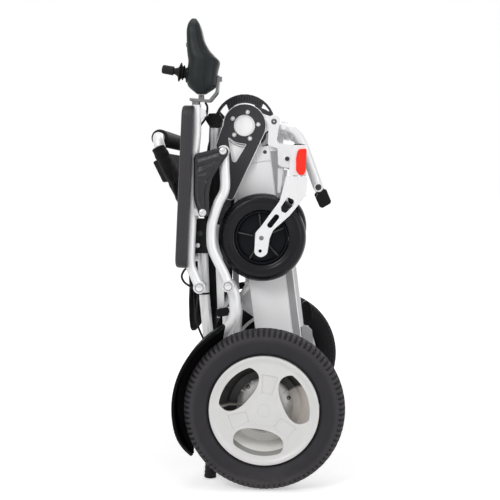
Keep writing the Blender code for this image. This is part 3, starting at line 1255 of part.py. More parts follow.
def make_pod():
    """Joystick housing: a tapering shell lofted through rounded sections, with the stick's well and button wells."""
    mesh = bmesh.new()
    rings = []
    for z, left, right, half in POD_SECTIONS:
        corner = min(right - left, 2 * half) * 0.38
        outline = rounded([(left, -half), (right, -half), (right, half), (left, half)], corner, 2)
        rings.append([mesh.verts.new((x, -POD_Y + y, z)) for x, y in outline])
    skin(mesh, rings, False)
    mesh.faces.new(rings[0])
    mesh.faces.new(rings[-1])
    pod = add_object("joystick_pod", mesh, "charcoal")
    cut(pod, tube([on_stick(-WELL_DEEP), on_stick(0.020)], WELL_R, 16))
    for y in (-KEY_SPREAD, KEY_SPREAD):
        start = Vector((KEY_FACE_X + KEY_DEEP, -POD_Y + y, KEY_Z))
        cut(pod, tube([start, start - Vector((0.020, 0, 0))], KEY_R + PIN_GAP, 10))
    carry(pod, "arm_right")


def make_key(name, side):
    """Push button in the pod."""
    start = Vector((KEY_FACE_X + KEY_DEEP - KEY_TRAVEL - 0.0002, -POD_Y + side * KEY_SPREAD, KEY_Z))
    out = Vector((-1, 0, 0))
    end = Vector((KEY_FACE_X - 0.0018, start.y, KEY_Z))
    path = [start, end - out * 0.0008, end]
    button = add_object(name, tube(path, lambda i: KEY_R - (0.0009 if i == 2 else 0), 10), "grey")
    carry(button, name)


def make_joystick():
    """Gimbal ring in the pod's well and the stick that tips in it."""
    centre = -GIMBAL_DEEP
    ring = add_object("joystick_gimbal", sleeve([on_stick(centre - 0.003), on_stick(centre + 0.003)],
                                                GIMBAL_R, GIMBAL_BORE, 20), "grey")
    for side in (-1, 1):
        union(ring, tube([on_stick(centre, 0, side * (GIMBAL_R - 0.0015)), on_stick(centre, 0, side * (WELL_R - 0.0004))],
                         0.0018, 10))
    carry(ring, "joystick_tip")
    stick = add_object("joystick", tube([on_stick(centre - 0.003), on_stick(STICK_LONG - KNOB_R)], 0.0036, 10), "rubber")
    union(stick, tube([on_stick(centre, -GIMBAL_BORE + 0.0004), on_stick(centre, GIMBAL_BORE - 0.0004)], 0.0014, 8))
    knob = [(0.0275, 0.0062), (0.0285, 0.0078), (0.0310, KNOB_R), (0.0440, KNOB_R), (0.0485, 0.0074),
            (0.0505, 0.0052), (STICK_LONG, 0.0020)]
    union(stick, tube([on_stick(d) for d, _ in knob], lambda i: knob[i][1], 12))
    boot = [(0.0005, 0.0088), (0.0026, 0.0098), (0.0044, 0.0090), (0.0078, 0.0116), (0.0095, 0.0148), (0.0113, 0.0128),
            (0.0130, 0.0150), (0.0160, 0.0185), (0.0175, 0.0160), (0.0190, 0.0090), (0.0290, 0.0058)]
    union(stick, tube([on_stick(d) for d, _ in boot], lambda i: boot[i][1], 12))
    carry(stick, "joystick")


def make_pod_bracket():
    """Bent bar that carries the pod on the end of the armrest tube, with its thumb screw and bolt."""
    t = BRACKET_THICK
    outline = rounded([(-0.1490, 0.7643), (-0.1075, 0.7612), (-0.0927, 0.7790), (-0.0892, 0.8130),
                       (-0.0942, 0.8130), (-0.0977, 0.7812), (-0.1105, 0.7662), (-0.1488, 0.7643 + t)],
                      [0.001, 0.008, 0.010, 0.002, 0.002, 0.006, 0.004, 0.001], 3)
    bracket = add_object("joystick_bracket", prism(outline, -ARM_Y - 0.0160, -ARM_Y + 0.0090), "silver")
    top = Vector((ARM_PATH[0][0], -ARM_Y, ARM_PATH[0][1]))
    union(bracket, tube([top + Vector((0, 0, SEAT_GAP)), top + Vector((0, 0, 0.009))], 0.0085, 10))
    union(bracket, tube([Vector((-0.1270, -ARM_Y, 0.7640)), Vector((-0.1270, -ARM_Y, 0.7760))], 0.0060, 8))
    union(bracket, tube([Vector((-0.0905, -ARM_Y, 0.8070)), Vector((-0.0860, -ARM_Y, 0.8070))], 0.0055, 6))
    carry(bracket, "arm_right")


def make_leads():
    """Control lead: down the inside of the armrest tube, and on from the arm joint to the back tube."""
    upper = [(x, -ARM_Y - y, z) for x, y, z in LEAD_UPPER]
    lower = [(x, -ARM_Y - y, z) for x, y, z in LEAD_LOWER]
    carry(add_object("arm_lead", tube(smooth(upper, 2), LEAD_R, 6), "rubber"), "arm_right")
    carry(add_object("back_lead", tube(smooth(lower, 2), LEAD_R, 6), "rubber"), "back_unfold")


def add_joints():
    """Empties on the joint axes, parents first."""
    add_joint("back_unfold", (BACK_PIVOT[0], 0, BACK_PIVOT[1]))
    add_joint("back_recline", (RECLINE_PIVOT[0], 0, RECLINE_PIVOT[1]), "back_unfold")
    add_joint("seat", (SEAT_PIVOT[0], 0, SEAT_PIVOT[1]), "back_unfold")
    add_joint("leg", (LEG_PIVOT[0], 0, LEG_PIVOT[1]))
    add_joint("footplate", (FOOTPLATE_PIVOT[0], 0, FOOTPLATE_PIVOT[1]), "leg")
    for name, side in SIDES.items():
        block_face = side * (BACK_Y + BLOCK_OUT)
        add_joint("wheel_" + name, (AXLE[0], side * WHEEL_Y, AXLE[1]))
        add_joint("caster_" + name, (SWIVEL_LOW[0], side * caster_y(), SWIVEL_LOW[1]), "leg")
        add_joint("caster_wheel_" + name, (CASTER_AXLE[0], side * caster_y(), CASTER_AXLE[1]), "caster_" + name)
        add_joint("recline_button_" + name, (BUTTON_PLACE[0], block_face, BUTTON_PLACE[1]), "back_unfold")
        add_joint("seat_link_" + name, (LINK_PIVOT[0], side * SEAT_Y, LINK_PIVOT[1]))
        add_joint("arm_" + name, (ARM_PIVOT[0], side * ARM_Y, ARM_PIVOT[1]), "back_unfold")
        add_joint("stay_" + name, (STAY_PIVOT[0], side * ARM_Y, STAY_PIVOT[1]))
    add_joint("joystick_tip", on_stick(-GIMBAL_DEEP), "arm_right")
    add_joint("joystick", on_stick(-GIMBAL_DEEP), "joystick_tip")
    add_joint("power_button", (KEY_FACE_X, -POD_Y - KEY_SPREAD, KEY_Z), "arm_right")
    add_joint("horn_button", (KEY_FACE_X, -POD_Y + KEY_SPREAD, KEY_Z), "arm_right")


def clean_meshes():
    """Merge the flat faces that the Booleans left split."""
    for item in bpy.data.objects:
        if item.type != "MESH":
            continue
        mesh = bmesh.new()
        mesh.from_mesh(item.data)
        bmesh.ops.dissolve_limit(mesh, angle_limit=math.radians(0.2), verts=mesh.verts, edges=mesh.edges)
        mesh.to_mesh(item.data)
        mesh.free()


def main():
    clear_scene()
    add_joints()
    make_chassis()
    for side_name in SIDES:
        make_tyre(side_name)
        make_rim(side_name)
        make_motor(side_name)
        make_fender(side_name)
        make_foot(side_name)
        make_battery_box(side_name)
        make_ring_plate(side_name)
        make_lift_grip(side_name)
        make_leg_bracket(side_name)
        make_reflector(side_name)
        make_fork(side_name)
        make_caster_wheel(side_name)
    make_hanger()
    make_footplate()
    make_back_lower()
    make_back_upper()
    make_push_grip()
    make_back_cushions()
    make_seat()
    for side_name in SIDES:
        make_recline_block(side_name)
        make_recline_button(side_name)
        make_seat_latch(side_name)
        make_seat_link(side_name)
        make_arm_tube(side_name)
        make_arm_pad(side_name)
        make_side_guard(side_name)
        make_arm_stay(side_name)
    make_pod()
    make_key("power_button", -1)
    make_key("horn_button", 1)
    make_joystick()
    make_pod_bracket()
    make_leads()
    clean_meshes()


main()
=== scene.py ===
"""Looks of the folding power wheelchair, folded flat and standing on its drive wheels.

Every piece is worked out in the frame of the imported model: metres, +Z up, +X towards the chair's
underside, +Y towards its left side. Right is -Y, the side with the joystick.
"""
import json
import math

import bmesh
import bpy
import numpy as np
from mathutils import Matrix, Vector

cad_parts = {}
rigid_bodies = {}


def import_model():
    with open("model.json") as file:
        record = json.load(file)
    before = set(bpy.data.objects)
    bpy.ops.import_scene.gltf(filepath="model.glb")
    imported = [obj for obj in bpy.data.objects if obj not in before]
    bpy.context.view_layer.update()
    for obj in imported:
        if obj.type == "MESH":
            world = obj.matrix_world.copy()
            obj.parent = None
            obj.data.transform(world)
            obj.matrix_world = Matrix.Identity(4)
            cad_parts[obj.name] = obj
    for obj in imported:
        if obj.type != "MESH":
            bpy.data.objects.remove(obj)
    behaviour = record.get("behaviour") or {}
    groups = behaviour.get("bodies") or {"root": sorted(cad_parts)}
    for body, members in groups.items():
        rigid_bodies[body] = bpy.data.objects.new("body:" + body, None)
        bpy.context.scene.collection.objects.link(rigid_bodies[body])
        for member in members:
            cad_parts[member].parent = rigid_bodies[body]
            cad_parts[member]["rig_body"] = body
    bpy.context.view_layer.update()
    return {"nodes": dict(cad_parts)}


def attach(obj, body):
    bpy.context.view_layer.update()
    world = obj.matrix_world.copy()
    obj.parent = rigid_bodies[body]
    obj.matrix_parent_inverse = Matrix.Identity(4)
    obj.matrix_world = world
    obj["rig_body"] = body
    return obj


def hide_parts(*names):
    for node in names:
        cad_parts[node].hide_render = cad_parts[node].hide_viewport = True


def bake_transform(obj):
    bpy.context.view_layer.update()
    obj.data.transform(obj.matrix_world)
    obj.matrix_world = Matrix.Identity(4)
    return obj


bl_info = {
    "name": "Folding power wheelchair",
    "version": (1, 0, 0),
    "blender": (4, 5, 0),
    "location": "View3D > Sidebar > Wheelchair",
    "description": "Builds the visible surfaces and finishes of a folding power wheelchair",
    "category": "Object",
}

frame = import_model()


# Sizes that the frame shares with these surfaces; places are (X, Z)

SIDES = {"right": -1.0, "left": 1.0}
AXLE = (0.0, 0.159)
WHEEL_Y = 0.330
TYRE_R = 0.159
TYRE_WIDTH = 0.062
BEAD_R = 0.109
MOTOR_INNER_Y = 0.220
MOTOR_OUTER_Y = 0.292
UPRIGHT_Y = 0.265
UPRIGHT_R = 0.012
BACK_Y = 0.2395
BACK_R = 0.011
SEAT_Y = 0.215
SEAT_R = 0.011
ARM_Y = 0.2885
ARM_R = 0.010
ARM_FACE = ARM_Y + ARM_R
HANGER_R = 0.010
EYE_R = 0.0125
BOX_OUTER_Y = 0.2197
PLATE_LOW = 0.2293
PLATE_HIGH = 0.2338
CASTER_Y = 0.2480
CASTER_R = 0.0895
CASTER_WIDTH = 0.0430
CASTER_HUB_R = 0.0545
CASTER_AXLE = (-0.0085, 0.4922)
FORK_GAP = 0.0240
FORK_PLATE = 0.0030
BACK_PIVOT = (-0.1120, 0.0550)
SEAT_PIVOT = (-0.1165, 0.2700)
SEAT_TOP = (-0.1047, 0.7148)
LINK_PIVOT = (-0.0937, 0.3385)
ARM_PIVOT = (-0.1315, 0.3938)
STAY_PIVOT = (-0.0740, 0.3970)
GUARD_PIVOT = (-0.0828, 0.6655)
GUARD_BOLT = (-0.1235, 0.5440)
LEG_PIVOT = (0.0150, 0.7265)
LEG_BOLT = (0.0420, 0.6512)
FRONT_TUBE = (-0.0450, 0.7187)
FRONT_TUBE_R = 0.020
RING_R = 0.0433
RING_HOLE_R = 0.0210
RING_BOLT_CIRCLE_R = 0.0280
RECLINE_PIVOT = (-0.1345, 0.5000)
UPPER_BEND = (-0.2100, 0.6530)
PUSH_BAR = (-0.2232, 0.6957)
UPPER_BEND_R = 0.0350
GRIP_FOAM_R = 0.0175
UPRIGHT_PATH = ((-0.0740, 0.4000), (-0.0640, 0.3780), (-0.0612, 0.3300), (-0.0905, 0.2890),
                (-0.1110, 0.0360))
BACK_PATH = (BACK_PIVOT, (-0.1198, 0.2920), (-0.1272, 0.3712), (-0.1312, 0.4860))
BRACE_LOW = (-0.1300, 0.4500)
BRACE_BACK_X = -0.1720
BRACE_BEND = 0.0140
BACK_BRACE_R = 0.0080
ARM_PATH = ((-0.1374, 0.7570), (-0.1376, 0.7000), (-0.1408, 0.6680), (-0.1512, 0.4560),
            (-0.1500, 0.4360), ARM_PIVOT)
STAY_PATH = (GUARD_PIVOT, (-0.0815, 0.6340), (-0.0810, 0.5900), (-0.0940, 0.5615), (-0.1055, 0.5260),
             (-0.1082, 0.4992), (-0.1062, 0.4728), (-0.0945, 0.4456), (-0.0812, 0.4187), STAY_PIVOT)
PAD_LOW = (-0.1552, 0.4329)
PAD_HIGH = (-0.1397, 0.7547)
HANGER_PATH = ((0.0349, 0.7160), (0.0580, 0.7110), (0.0757, 0.6760), (0.1057, 0.5935))
POD_Y = 0.3000
POD_FACE = (-0.1522, 0.8174)
STICK_TILT = math.radians(10.0)

# Directions, and the radius that stands for the axis itself in a turned profile

ALONG_Y = (0, 1, 0)
CENTRE = 0.0001


# Meshes

def build(name, verts, faces, finish=None, smooth=40.0):
    """Put points and groups of faces into a new object at the origin, its faces looking outwards."""
    verts = np.asarray(verts, float).reshape(-1, 3)
    volume = 0.0
    for group in faces:
        for k in range(1, group.shape[1] - 1):
            a, b, c = verts[group[:, 0]], verts[group[:, k]], verts[group[:, k + 1]]
            volume += float(np.einsum("ij,ij->i", a, np.cross(b, c)).sum())
    if volume < 0:
        faces = [group[:, ::-1] for group in faces]
    corners = np.concatenate([group.ravel() for group in faces])
    sizes = np.concatenate([np.full(len(group), group.shape[1]) for group in faces])
    data = bpy.data.meshes.new(name)
    data.vertices.add(len(verts))
    data.vertices.foreach_set("co", verts.astype(np.float32).ravel())
    data.loops.add(len(corners))
    data.loops.foreach_set("vertex_index", corners.astype(np.int32))
    data.polygons.add(len(sizes))
    starts = np.concatenate([[0], np.cumsum(sizes)[:-1]])
    data.polygons.foreach_set("loop_start", starts.astype(np.int32))
    data.update(calc_edges=True)
    data.validate()
    return dress(name, data, finish, smooth)


def dress(name, data, finish, smooth=40.0):
    """Link a mesh into the scene with its finish, its faces smoothed up to the angle in degrees."""
    item = bpy.data.objects.new(name, data)
    bpy.context.scene.collection.objects.link(item)
    data.polygons.foreach_set("use_smooth", np.ones(len(data.polygons), bool))
    data.set_sharp_from_angle(angle=math.radians(smooth))
    if finish:
        data.materials.clear()
        data.materials.append(finished(finish))
    return item


def placed(item, body, stands=None):
    """Put a piece on its body, if it has only one, and let it stand for a frame node."""
    if body:
        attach(item, body)
    if stands:
        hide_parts(stands)
    return item


def surface(name, grid, finish, body, stands=None, ends="cap", smooth=40.0):
    """Faces between the rows of a grid of points; each row is a closed ring.

    ends is "cap" for a fan that closes the first and the last row, "ring" to join the last to the first.
    """
    rows, across = grid.shape[:2]
    last = rows if ends == "ring" else rows - 1
    i, j = np.meshgrid(np.arange(last), np.arange(across), indexing="ij")
    here, ahead = i * across, ((i + 1) % rows) * across
    beside = (j + 1) % across
    faces = [np.stack([here + j, here + beside, ahead + beside, ahead + j], -1).reshape(-1, 4)]
    verts = grid.reshape(-1, 3)
    if ends == "cap":
        verts = np.vstack([verts, grid[0].mean(0), grid[-1].mean(0)])
        k = np.arange(across)
        n = (k + 1) % across
        low = np.stack([np.full(across, rows * across), n, k], -1)
        base = (rows - 1) * across
        high = np.stack([np.full(across, rows * across + 1), base + k, base + n], -1)
        faces.append(np.vstack([low, high]))
    return placed(build(name, verts, faces, finish, smooth), body, stands)


def turned(name, profile, centre, axis, finish, body, stands=None, steps=64, ends="cap", shape=None):
    """A profile of (radius, distance along the axis) carried round the axis through the centre.

    shape(angles, profile) may give a factor for each radius, rows by columns.
    """
    axis = Vector(axis).normalized()
    first = Vector((1, 0, 0)) if abs(axis.x) < 0.8 else Vector((0, 0, 1))
    first = (first - axis * first.dot(axis)).normalized()
    second = axis.cross(first)
    profile = np.asarray(profile, float)
    angles = np.linspace(0, 2 * np.pi, steps, endpoint=False)
    radius = profile[:, :1] * np.ones((1, steps))
    if shape is not None:
        radius = radius * shape(angles, profile)
    spokes = np.outer(np.cos(angles), np.array(first)) + np.outer(np.sin(angles), np.array(second))
    along = profile[:, 1][:, None, None] * np.array(axis)
    grid = np.array(centre) + along + radius[:, :, None] * spokes
    return surface(name, grid, finish, body, stands, ends, 35.0)


def at(spot, y):
    """A place (X, Z) put at a distance from the middle plane."""
    return (spot[0], y, spot[1])


def flat(points, y):
    """Several places (X, Z) put at one distance from the middle plane."""
    points = np.asarray(points, float)
    return np.stack([points[:, 0], np.full(len(points), y), points[:, 1]], -1)


def mirrored(profile):
    """A half profile and its mirror image, as one closed ring."""
    return [*profile, *((r, -y) for r, y in reversed(profile))]


def boss(radius, low, high, edge=0.0008):
    """Profile of a solid round boss with eased edges."""
    return [(CENTRE, low), (radius - edge, low), (radius, low + edge), (radius, high - edge),
            (radius - edge, high), (CENTRE, high)]


def eased(points, spans):
    """A smooth curve through points: a cubic between neighbours whose slopes come from their neighbours."""
    points = np.asarray(points, float)
    padded = np.vstack([2 * points[:1] - points[1:2], points, 2 * points[-1:] - points[-2:-1]])
    a, b, c, d = (v[:, None, :] for v in (padded[:-3], padded[1:-2], padded[2:-1], padded[3:]))
    t = (np.arange(spans) / spans)[None, :, None]
    square = (2 * a - 5 * b + 4 * c - d) * t ** 2
    curve = 0.5 * (2 * b + (c - a) * t + square + (3 * b - a - 3 * c + d) * t ** 3)
    return np.vstack([curve.reshape(-1, points.shape[1]), points[-1:]])


def whole_section(points, spans, limit):
    """A half section eased, kept within a radius and mirrored."""
    section = eased(points, spans)
    section[:, 0] = np.minimum(section[:, 0], limit)
    return np.vstack([section, (section * [1, -1])[-2::-1]])


def eased_step(value, low, high):
    """0 up to the low value, 1 from the high one on, and a smooth cubic between them."""
    t = np.clip((value - low) / (high - low), 0, 1)
    return t * t * (3 - 2 * t)


def bent(points, radius, steps=10):
    """A path with its corners turned into arcs, no larger than half of the shorter side allows."""
    points = [np.asarray(p, float) for p in points]
    path = [points[0]]
    for before, corner, after in zip(points, points[1:], points[2:]):
        back, ahead = before - corner, after - corner
        back_long, ahead_long = np.linalg.norm(back), np.linalg.norm(ahead)
        back, ahead = back / back_long, ahead / ahead_long
        half = math.acos(float(np.clip(back @ ahead, -1, 1))) / 2
        if half > math.radians(89):
            path.append(corner)
            continue
        reach = min(radius / math.tan(half), 0.48 * min(back_long, ahead_long))
        middle = (back + ahead) / np.linalg.norm(back + ahead) * reach / math.cos(half)
        start, end = back * reach - middle, ahead * reach - middle
        turn = math.acos(float(np.clip(start @ end / (start @ start), -1, 1)))
        share = np.linspace(0, 1, steps + 1)[:, None]
        arc = (start * np.sin((1 - share) * turn) + end * np.sin(share * turn)) / math.sin(turn)
        path += list(corner + middle + arc)
    path.append(points[-1])
    return np.array(path)


def spaced(path, gap):
    """The path's points filled in, so that none are further apart than the gap."""
    filled = []
    for a, b in zip(path[:-1], path[1:]):
        count = max(1, int(np.ceil(np.linalg.norm(b - a) / gap)))
        filled.append(a + (b - a) * (np.arange(count) / count)[:, None])
    return np.vstack([*filled, path[-1:]])


def unit(vectors):
    """Vectors of length 1 in the same directions."""
    return vectors / np.linalg.norm(vectors, axis=-1)[..., None]


def sweep(name, path, radius, finish, body, stands=None, sides=28, chamfer=0.0006):
    """A round section carried along a path without twist; its ends are eased by a small chamfer.

    radius is one number, or one for each point of the path.
    """
    path = np.asarray(path, float)
    radii = np.broadcast_to(np.asarray(radius, float), (len(path),)).copy()
    if chamfer:
        start = path[:1] + unit(path[1:2] - path[:1]) * chamfer
        end = path[-1:] + unit(path[-2:-1] - path[-1:]) * chamfer
        path = np.vstack([path[:1], start, path[1:-1], end, path[-1:]])
        radii = np.concatenate([[radii[0] - chamfer], radii, [radii[-1] - chamfer]])
    ways = unit(np.diff(path, axis=0))
    tangent = unit(np.vstack([ways[:1], ways[:-1] + ways[1:], ways[-1:]]))
    normal = np.array([0.0, 1.0, 0.0]) if abs(tangent[0][1]) < 0.9 else np.array([0.0, 0.0, 1.0])
    firsts = []
    for way in tangent:
        normal = unit(normal - way * (normal @ way))
        firsts.append(normal)
    firsts = np.array(firsts)
    seconds = np.cross(tangent, firsts)
    angles = np.linspace(0, 2 * np.pi, sides, endpoint=False)[None, :, None]
    ring = firsts[:, None, :] * np.cos(angles) + seconds[:, None, :] * np.sin(angles)
    return surface(name, path[:, None, :] + ring * radii[:, None, None], finish, body, stands)


def closed_sweep(name, loop, radius, finish, body, sides=8):
    """A round section carried round a closed flat loop."""
    ways = unit(np.roll(loop, -1, 0) - np.roll(loop, 1, 0))
    spokes = loop - loop.mean(0)
    spokes = unit(spokes - ways * np.einsum("ij,ij->i", spokes, ways)[:, None])
    ups = np.cross(ways, spokes)
    angles = np.linspace(0, 2 * np.pi, sides, endpoint=False)[None, :, None]
    ring = spokes[:, None, :] * np.cos(angles) + ups[:, None, :] * np.sin(angles)
    return surface(name, loop[:, None, :] + radius * ring, finish, body, None, "ring", 60.0)


def arc_of(centre, radius, steps=72, start=0.0, end=360.0):
    """Points (X, Z) of a circle or of an arc in degrees."""
    angles = np.radians(np.linspace(start, end, steps, endpoint=end - start < 360.0))
    return np.stack([centre[0] + radius * np.cos(angles), centre[1] + radius * np.sin(angles)], -1)


def oval(centre, long, short, turn, steps=72, power=2.4):
    """A closed oval, a little squarer than an ellipse, its long axis turned by the angle in degrees."""
    t = np.linspace(0, 2 * np.pi, steps, endpoint=False)
    c = np.sign(np.cos(t)) * np.abs(np.cos(t)) ** (2 / power) * long
    s = np.sign(np.sin(t)) * np.abs(np.sin(t)) ** (2 / power) * short
    return np.stack([c, s], -1) @ turned_by(turn) + centre


def turned_by(degrees):
    """The matrix that turns points (X, Z) written as rows."""
    a = math.radians(degrees)
    return np.array([[math.cos(a), math.sin(a)], [-math.sin(a), math.cos(a)]])


def rounded(points, radius, steps=6):
    """A closed outline (X, Z) with its corners turned into arcs."""
    points = np.asarray(points, float)
    radii = np.broadcast_to(np.asarray(radius, float), (len(points),))
    loop = []
    for k in range(len(points)):
        corner = bent([points[k - 1], points[k], points[(k + 1) % len(points)]], radii[k], steps)
        loop += list(corner[1:-1])
    return np.array(loop)


def oblong(low, high, half, radius, steps=6):
    """A rounded rectangle from one X to another, to both sides of the X axis."""
    return rounded([(low, -half), (high, -half), (high, half), (low, half)], radius, steps)


def lobe(start, end, start_r, end_r, steps=20):
    """Outline of a link: two round ends joined by their common tangents."""
    a, b = np.array(start), np.array(end)
    axis = math.degrees(math.atan2(*(b - a)[::-1]))
    lean = math.degrees(math.acos((start_r - end_r) / np.linalg.norm(b - a)))
    return np.vstack([arc_of(start, start_r, steps, axis + lean, axis + 360 - lean),
                      arc_of(end, end_r, steps, axis - lean, axis + lean)])


def plate(name, outline, holes, low, high, finish, body, stands=None, edge=0.0006, segments=3):
    """A flat outline (X, Z) with holes, given thickness along Y and rounded edges."""
    low, high = min(low, high), max(low, high)
    mesh = bmesh.new()
    edges = []
    for loop in [outline, *holes]:
        ring = [mesh.verts.new((float(x), low, float(z))) for x, z in loop]
        edges += [mesh.edges.new((ring[i], ring[i - 1])) for i in range(len(ring))]
    bmesh.ops.triangle_fill(mesh, use_beauty=True, edges=edges)
    grown = bmesh.ops.extrude_face_region(mesh, geom=list(mesh.faces))
    moved = [v for v in grown["geom"] if isinstance(v, bmesh.types.BMVert)]
    bmesh.ops.translate(mesh, verts=moved, vec=(0, high - low, 0))
    return placed(bevelled(name, mesh, finish, edge, segments), body, stands)


def bevelled(name, mesh, finish, edge, segments):
    """An object from a bmesh, its faces looking outwards, with a bevel on its sharp edges."""
    bmesh.ops.recalc_face_normals(mesh, faces=mesh.faces)
    if mesh.calc_volume(signed=True) < 0:
        bmesh.ops.reverse_faces(mesh, faces=mesh.faces)
    data = bpy.data.meshes.new(name)
    mesh.to_mesh(data)
    mesh.free()
    item = dress(name, data, finish)
    if edge:
        modifier = item.modifiers.new("Eased edges", "BEVEL")
        modifier.width = edge
        modifier.segments = segments
        modifier.limit_method = "ANGLE"
        modifier.angle_limit = math.radians(35.0)
        modifier.harden_normals = False
    return item


def refined(node, finish, edge, segments=2):
    """A copy of a frame node as one skin, flat faces joined and edges eased, in the node's place."""
    source = frame["nodes"][node]
    mesh = bmesh.new()
    mesh.from_mesh(source.data)
    bmesh.ops.remove_doubles(mesh, verts=mesh.verts, dist=1e-6)
    bmesh.ops.dissolve_limit(mesh, angle_limit=math.radians(0.3), verts=mesh.verts, edges=mesh.edges)
    return placed(bevelled(node + "_body", mesh, finish, edge, segments), source["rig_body"], node)


def bolt(name, place, way, radius, body, finish="steel", head=0.0030, socket=True):
    """A domed screw head on a thin washer; the socket has six sides, the head without one is smooth."""
    key = radius * 0.46
    top = [(CENTRE, head * 1.05), (radius * 0.5, head)]
    if socket:
        top = [(CENTRE, 0.0004), (key, 0.0004), (key, head * 0.93), (radius * 0.72, head)]
    profile = [*top, (radius * 0.93, head * 0.72), (radius, head * 0.35), (radius, 0.0006),
               (radius * 1.28, 0.0006), (radius * 1.32, 0.0), (CENTRE, -0.0001)]

    def six_sided(angles, points):
        """Radius factor: one over the cosine of the angle to the nearest flat, in the socket only."""
        factor = np.ones((len(points), len(angles)))
        factor[1:3] = 0.90 / np.cos(np.mod(angles, np.pi / 3) - np.pi / 6)
        return factor

    return turned(name, profile, place, way, finish, body, steps=36, shape=six_sided if socket else None)


# Finishes

def colours():
    """The colours that a user may change."""
    return bpy.context.scene.wheelchair_colours


def feed(tree, socket, value):
    """Give a socket a value, or a link from another socket."""
    if isinstance(value, bpy.types.NodeSocket):
        tree.links.new(value, socket)
    else:
        socket.default_value = value


def put(tree, kind, sockets=(), **settings):
    """A new node with its settings, and a value or a link for each named socket."""
    made = tree.nodes.new("ShaderNode" + kind)
    for key, value in settings.items():
        setattr(made, key, value)
    for key, value in dict(sockets).items():
        feed(tree, made.inputs[key], value)
    return made


def ranged(tree, value, low, high, to_low=0.0, to_high=1.0):
    """A value carried from one range to another, and kept inside it."""
    return put(tree, "MapRange", {"Value": value, "From Min": low, "From Max": high,
                                  "To Min": to_low, "To Max": to_high}).outputs[0]


def maths(tree, operation, a, b=0.0):
    """One step of arithmetic on numbers or sockets."""
    return put(tree, "Math", {0: a, 1: b}, operation=operation).outputs[0]


def tinted(colour, factor):
    """A colour made darker or paler by a factor, and no brighter than 1."""
    return tuple(min(1.0, c * factor) for c in colour)


def look(colour, roughness, metallic=0.0, mottle=None, edge_wear_and_highlight=None, cells=None, grain=None, rounding=0.0005,
         layers=None, **sockets):
    """What a finish is mixed from.

    colour: the written colour, or the name of one of the colours that a user may change.
    mottle: size and amount of slow variation. Edge colour, the argument after mottle: colour, reach and
    strength of edges laid over with another colour, rubbed wear on most finishes and a painted highlight on
    the caster ribs.
    cells: size and depth of a leather grain. grain: size, depth and detail of fine bumps.
    rounding: radius by which edges look rounded. layers: a function that lays more over the colour.
    sockets: plain values of the shader, their names written small with underscores.
    """
    return dict(colour=colour, roughness=roughness, metallic=metallic, mottle=mottle, edge_wear_and_highlight=edge_wear_and_highlight,
                cells=cells, grain=grain, rounding=rounding, layers=layers, sockets=sockets)


